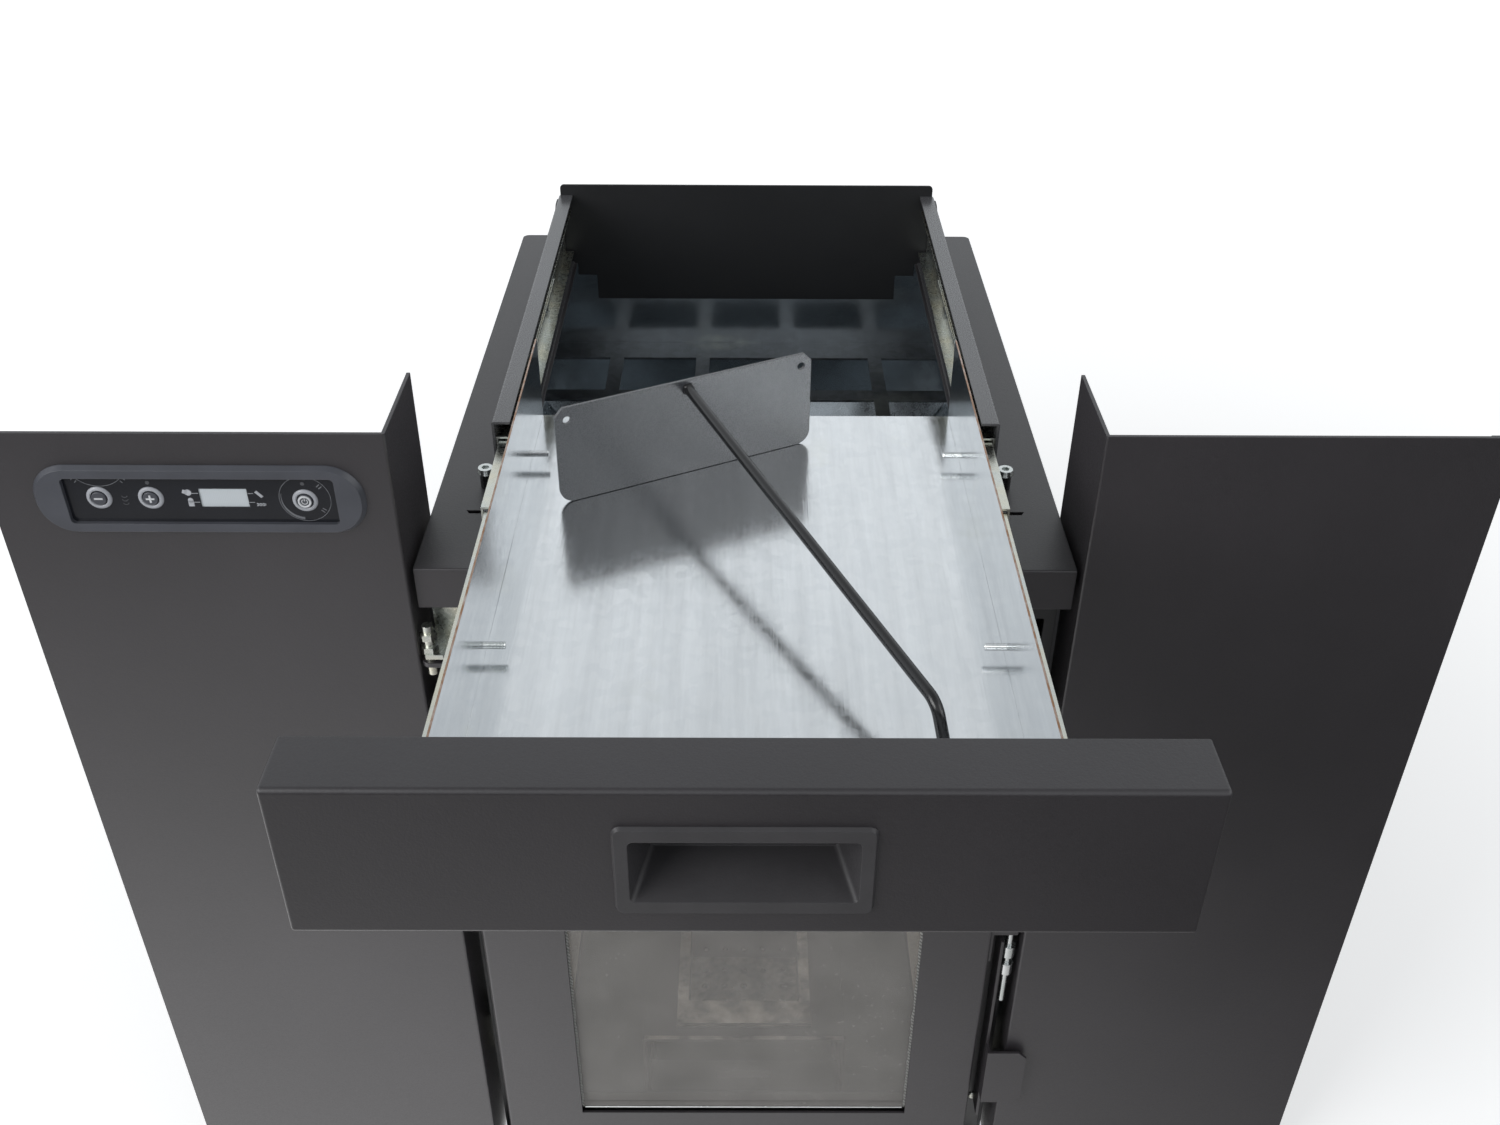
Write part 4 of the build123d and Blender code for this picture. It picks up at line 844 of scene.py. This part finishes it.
def print_dial():
    """A circle round the power key with a swelling arc and ticks."""
    x, z = KEYS["power"]
    centre = (x, z + 0.8)
    mesh = bmesh.new()
    arc(mesh, centre, 13.6, 0.35, -150, 210, WINDOW_Y, 60)
    for step in range(16):
        start = 165 + 6 * step
        arc(mesh, centre, 12.6 - 0.02 * step, 0.25 + 0.09 * step, start, start + 6.2, WINDOW_Y, 3)
    for degrees in (38, 46, -34, -42):
        tick(mesh, centre, 11.4, degrees, 2.4, 0.55)
    piece("print_dial", mesh, faint_ink, "casing", smooth=False)


def print_signs():
    """Small generic signs on both sides of the display."""
    x, z, width, _ = LCD
    left = x - width / 2
    right = x + width / 2
    mesh = bmesh.new()
    for level in (-2.6, 2.9):
        bar(mesh, (left - 2.0, z + level), 3.4, 0.35, WINDOW_Y)
        bar(mesh, (right + 1.8, z + level), 3.0, 0.35, WINDOW_Y)
    dot(mesh, (left - 5.6, z + 3.4), 1.9)
    bar(mesh, (left - 7.4, z + 3.8), 2.2, 2.4, WINDOW_Y, turn=20)
    bar(mesh, (left - 5.0, z - 3.4), 3.0, 3.6, WINDOW_Y)
    dot(mesh, (left - 5.0, z - 1.4), 1.5)
    bar(mesh, (right + 6.2, z + 2.4), 4.8, 1.7, WINDOW_Y, turn=48)
    for shift in (-1.6, 0.0, 1.6):
        bar(mesh, (right + 6.6 + shift, z - 3.6), 1.9, 0.8, WINDOW_Y, turn=24)
        bar(mesh, (right + 6.6 + shift, z - 4.4), 1.9, 0.6, WINDOW_Y, turn=-24)
    piece("print_signs", mesh, print_ink, "casing", smooth=False)


def print_lamps():
    """Unlit signal dots over two keys, and three faint waves between the first keys."""
    mesh = bmesh.new()
    dot(mesh, (KEYS["plus"][0], 610.6), 1.1)
    dot(mesh, (KEYS["power"][0], 610.2), 1.1)
    for level in range(3):
        arc(mesh, (-328.4, 598.6 + 2.2 * level), 1.6, 0.4, 200, 340, WINDOW_Y, 10)
    piece("print_lamps", mesh, ghost_ink, "casing")


# Loading drawer: threaded screw ends, the rod's weld, the fascia's screws and the slides
def tray_screw_ends():
    """The drawer's side screws, whose threaded ends stand inside the tray."""
    (_, front, foot), (reach, back, top) = in_mm(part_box("tray_screws"))
    profile = [(SCREW_R, 0.0), (SCREW_R, 0.9), (2.6, 1.7), (1.75, 1.8)]
    turn = THREAD_START
    while turn < THREAD_END:
        profile += [(CREST_R, turn), (ROOT_R, turn + THREAD_FLANK)]
        turn += THREAD_PITCH
    profile += [(1.5, 14.2), (1.0, 14.3)]
    for side, mark in zip(BOTH, "lr"):
        for row, y in enumerate((front + SCREW_R, back - SCREW_R)):
            mesh = bmesh.new()
            turned(mesh, profile, (side * reach, y, (foot + top) / 2), (-side, 0, 0), THREAD_STEPS)
            made = piece(f"tray_screw_{mark}{row}", mesh, bright_plating, "drawer")
            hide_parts("tray_screws")


def rod_weld():
    """A lumpy bead that joins the rod to the blade, its swell drawn from a fixed seed."""
    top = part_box("pusher_rod")[1].z / MM
    centre = Vector((*BLADE_MID, top - WELD_DROP))
    mesh = bmesh.new()
    bmesh.ops.create_icosphere(mesh, subdivisions=4, radius=WELD_R, matrix=Matrix.Translation(centre))
    lumps = random.Random(WELD_SEED)
    waves = [(Vector([lumps.uniform(-1, 1) for _ in range(3)]), lumps.uniform(0.5, 1.3))
             for _ in range(WELD_LUMPS)]
    for vertex in mesh.verts:
        out = vertex.co - centre
        swell = sum(math.sin(out.dot(wave) * rate) for wave, rate in waves)
        vertex.co = centre + out * (WELD_SIZE + WELD_SWELL * swell)
        vertex.co.z = min(vertex.co.z, top - 0.05)
    piece("rod_weld", mesh, rod_black, "pusher")


def fascia_screws():
    """Screws through the fascia's back plate."""
    (_, _, foot), (reach, back, top) = in_mm(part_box("drawer_fascia"))
    mesh = bmesh.new()
    for side in BOTH:
        for level in (foot + FASCIA_MARGIN, top - FASCIA_MARGIN):
            screw_head(mesh, (side * (reach - FASCIA_IN), back, level), BACKWARD, *FASCIA_HEAD)
    piece("fascia_screws", mesh, plating, "drawer")


def slide_rivets():
    """Rivets along each member of the telescopic slides."""
    for name, body, face, facing in SLIDES:
        (_, start, foot), (_, end, top) = in_mm(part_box(name))
        mesh = bmesh.new()
        for side in BOTH:
            for share in RIVET_SHARES:
                at = (side * face, start + (end - start) * share, (foot + top) / 2)
                screw_head(mesh, at, (side * facing, 0, 0), *RIVET_HEAD, recess=False)
        piece(f"{name}_rivets", mesh, bright_plating, body)


def slide_stops():
    """Black end stops in the middle members."""
    (_, front, foot), (_, _, top) = in_mm(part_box("slide_middles"))
    mesh = bmesh.new()
    for side in BOTH:
        near, far = sorted(side * x for x in STOP_X)
        for low, high in ((foot + STOP_Z[0], foot + STOP_Z[1]), (top - STOP_Z[1], top - STOP_Z[0])):
            slab(mesh, (near, front + STOP_Y[0], low), (far, front + STOP_Y[1], high), 0.6)
    piece("slide_stops", mesh, plastic, "slide_middle")


# Casing: screws, pipe beads and hems
def casing_screws():
    """Screws along the rear and side casings."""
    side_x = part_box("side_casings")[1].x / MM
    back_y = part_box("rear_casing")[1].y / MM
    mesh = bmesh.new()
    for x in REAR_X:
        for z in REAR_LEVELS:
            screw_head(mesh, (x, back_y, z), BACKWARD, *REAR_HEAD)
    for x in REAR_TOP_X:
        screw_head(mesh, (x, back_y, REAR_TOP_Z), BACKWARD, *REAR_HEAD)
    for side in BOTH:
        for y in SIDE_Y:
            for z in SIDE_LEVELS:
                screw_head(mesh, (side * side_x, y, z), (side, 0, 0), *SIDE_HEAD)
    piece("casing_screws", mesh, plating, "casing")


def flange_screws():
    """Four screws in each pipe's flange, larger round the flue."""
    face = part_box("rear_casing")[1].y / MM + FLANGE
    mesh = bmesh.new()
    for step in range(4):
        angle = math.radians(45 + 90 * step)
        for x, reach, head in ((FLUE_X, FLUE_BOLTS_R, FLUE_HEAD), (-FLUE_X, AIR_BOLTS_R, AIR_HEAD)):
            at = (x + reach * math.cos(angle), face, FLUE_Z + reach * math.sin(angle))
            screw_head(mesh, at, BACKWARD, *head)
    piece("flange_screws", mesh, plating, "casing")


def pipe_beads():
    """Rolled beads near the ends of the flue spigot and the air pipe."""
    for name, x, radius, finish, slot in (("flue_spigot", FLUE_X, FLUE_R, paint, "casing_steel"),
                                          ("air_inlet_pipe", -FLUE_X, AIR_R, sheet_zinc, "zinc_sheet")):
        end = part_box(name)[1].y / MM
        profile = [(radius - 0.3 + BEAD_R * math.sin(math.radians(angle)),
                    2.4 * math.cos(math.radians(angle))) for angle in range(0, 181, 20)]
        mesh = bmesh.new()
        for back in BEADS_BACK:
            lathe_ring(mesh, profile, (x, end - back, FLUE_Z), BACKWARD, BEAD_STEPS)
        piece(f"{name}_beads", mesh, finish, "casing")


def panel_hems():
    """Folded hems behind the outer and lower edges of the surround panels."""
    (inner, _, foot), (outer, _, top) = in_mm(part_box("surround_panel_right"))
    front = FACE_Y + PANEL_SHEET
    back = front + HEM_SHEET
    mesh = bmesh.new()
    for side in BOTH:
        near, far = sorted((side * (outer - HEM), side * (outer - HEM_GAP)))
        slab(mesh, (near, front, foot + HEM_GAP), (far, back, top - HEM_GAP), 0.5)
        near, far = sorted((side * (inner + PANEL_SHEET + HEM_GAP), side * (outer - HEM - 1)))
        slab(mesh, (near, front, foot + HEM_GAP), (far, back, foot + HEM - 1), 0.5)
    piece("panel_hems", mesh, coat, "casing")


# Fire door and pot
def pane_tape():
    """Frayed fibre tape along both sides of the pane, its edge drawn from a fixed seed."""
    (_, front, bottom), (_, _, top) = in_mm(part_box("door_glass"))
    rough = random.Random(TAPE_SEED)
    outside = GLASS_HALF + TAPE_OUT
    near = front - TAPE_FRONT
    far = front - TAPE_BACK
    mesh = bmesh.new()
    for side in BOTH:
        rows = []
        for step in range(TAPE_ROWS):
            z = bottom + TAPE_START + (top - bottom - TAPE_SHORT) * step / (TAPE_ROWS - 1)
            edge = GLASS_HALF - TAPE_IN - rough.uniform(0.0, TAPE_FRAY)
            corners = ((outside, near), (edge, near), (edge, far), (outside, far))
            rows.append([mesh.verts.new((side * x, y, z)) for x, y in corners])
        closed_strip(mesh, rows)
    piece("pane_tape", mesh, rope, "door")


def pane_edge():
    """The pane's bright lower edge."""
    (_, front, bottom), _ = in_mm(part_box("door_glass"))
    reach = GLASS_HALF - 2
    mesh = bmesh.new()
    slab(mesh, (-reach, front - 0.45, bottom - 0.9), (reach, front - 0.05, bottom + 0.5), 0.1)
    piece("pane_edge", mesh, bright_plating, "door")


def door_screws():
    """Screws through the door's inner panel."""
    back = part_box("door_inner_panel")[1].y / MM
    mesh = bmesh.new()
    for side in BOTH:
        for z in DOOR_LEVELS:
            screw_head(mesh, (side * DOOR_SCREW_X - DOOR_SHIFT, back, z), BACKWARD, *DOOR_HEAD)
    piece("door_screws", mesh, plating, "door")


def holder_edge():
    """The front edge of the pot's holder in the pot's finish: ash-coated, with painted light on its
    top.
    """
    (left, front, _), (right, _, _) = in_mm(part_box("pot_holder"))
    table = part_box("burn_pot")[0].z / MM + HOLDER_RISE
    mesh = bmesh.new()
    slab(mesh, (left + 1, front - 1.0, table - 2.2), (right - 1, front + 2.5, table + 1.0), 0.4)
    piece("holder_edge", mesh, pot_steel, "casing")


def pot_rear_rim():
    """The rolled rear edge of the pot's rim."""
    (left, _, _), (right, back, top) = in_mm(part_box("burn_pot"))
    mesh = bmesh.new()
    slab(mesh, (left + 2, back - 5, top - 2.5), (right - 2, back - 0.5, top - 0.1), 0.6)
    piece("pot_rear_rim", mesh, pot_steel, "pot")


def front_screws():
    """Screws in the front frame, which show beside the door and when it is open."""
    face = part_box("front_frame")[0].y / MM + FRONT_SET_BACK
    mesh = bmesh.new()
    for x in FRONT_X:
        for z in FRONT_LEVELS:
            screw_head(mesh, (x, face, z), FRONTWARD, *DOOR_HEAD)
    piece("front_screws", mesh, plating, "casing")


make_camera()
make_world()
make_floor()
for lamp in LAMPS:
    softbox(*lamp)
bpy.context.scene.view_settings.view_transform = "Standard"
key_rings()
key_glyphs()
print_scale()
print_dial()
print_signs()
print_lamps()
tray_screw_ends()
rod_weld()
fascia_screws()
slide_rivets()
slide_stops()
casing_screws()
flange_screws()
pipe_beads()
panel_hems()
pane_tape()
pane_edge()
door_screws()
holder_edge()
pot_rear_rim()
front_screws()
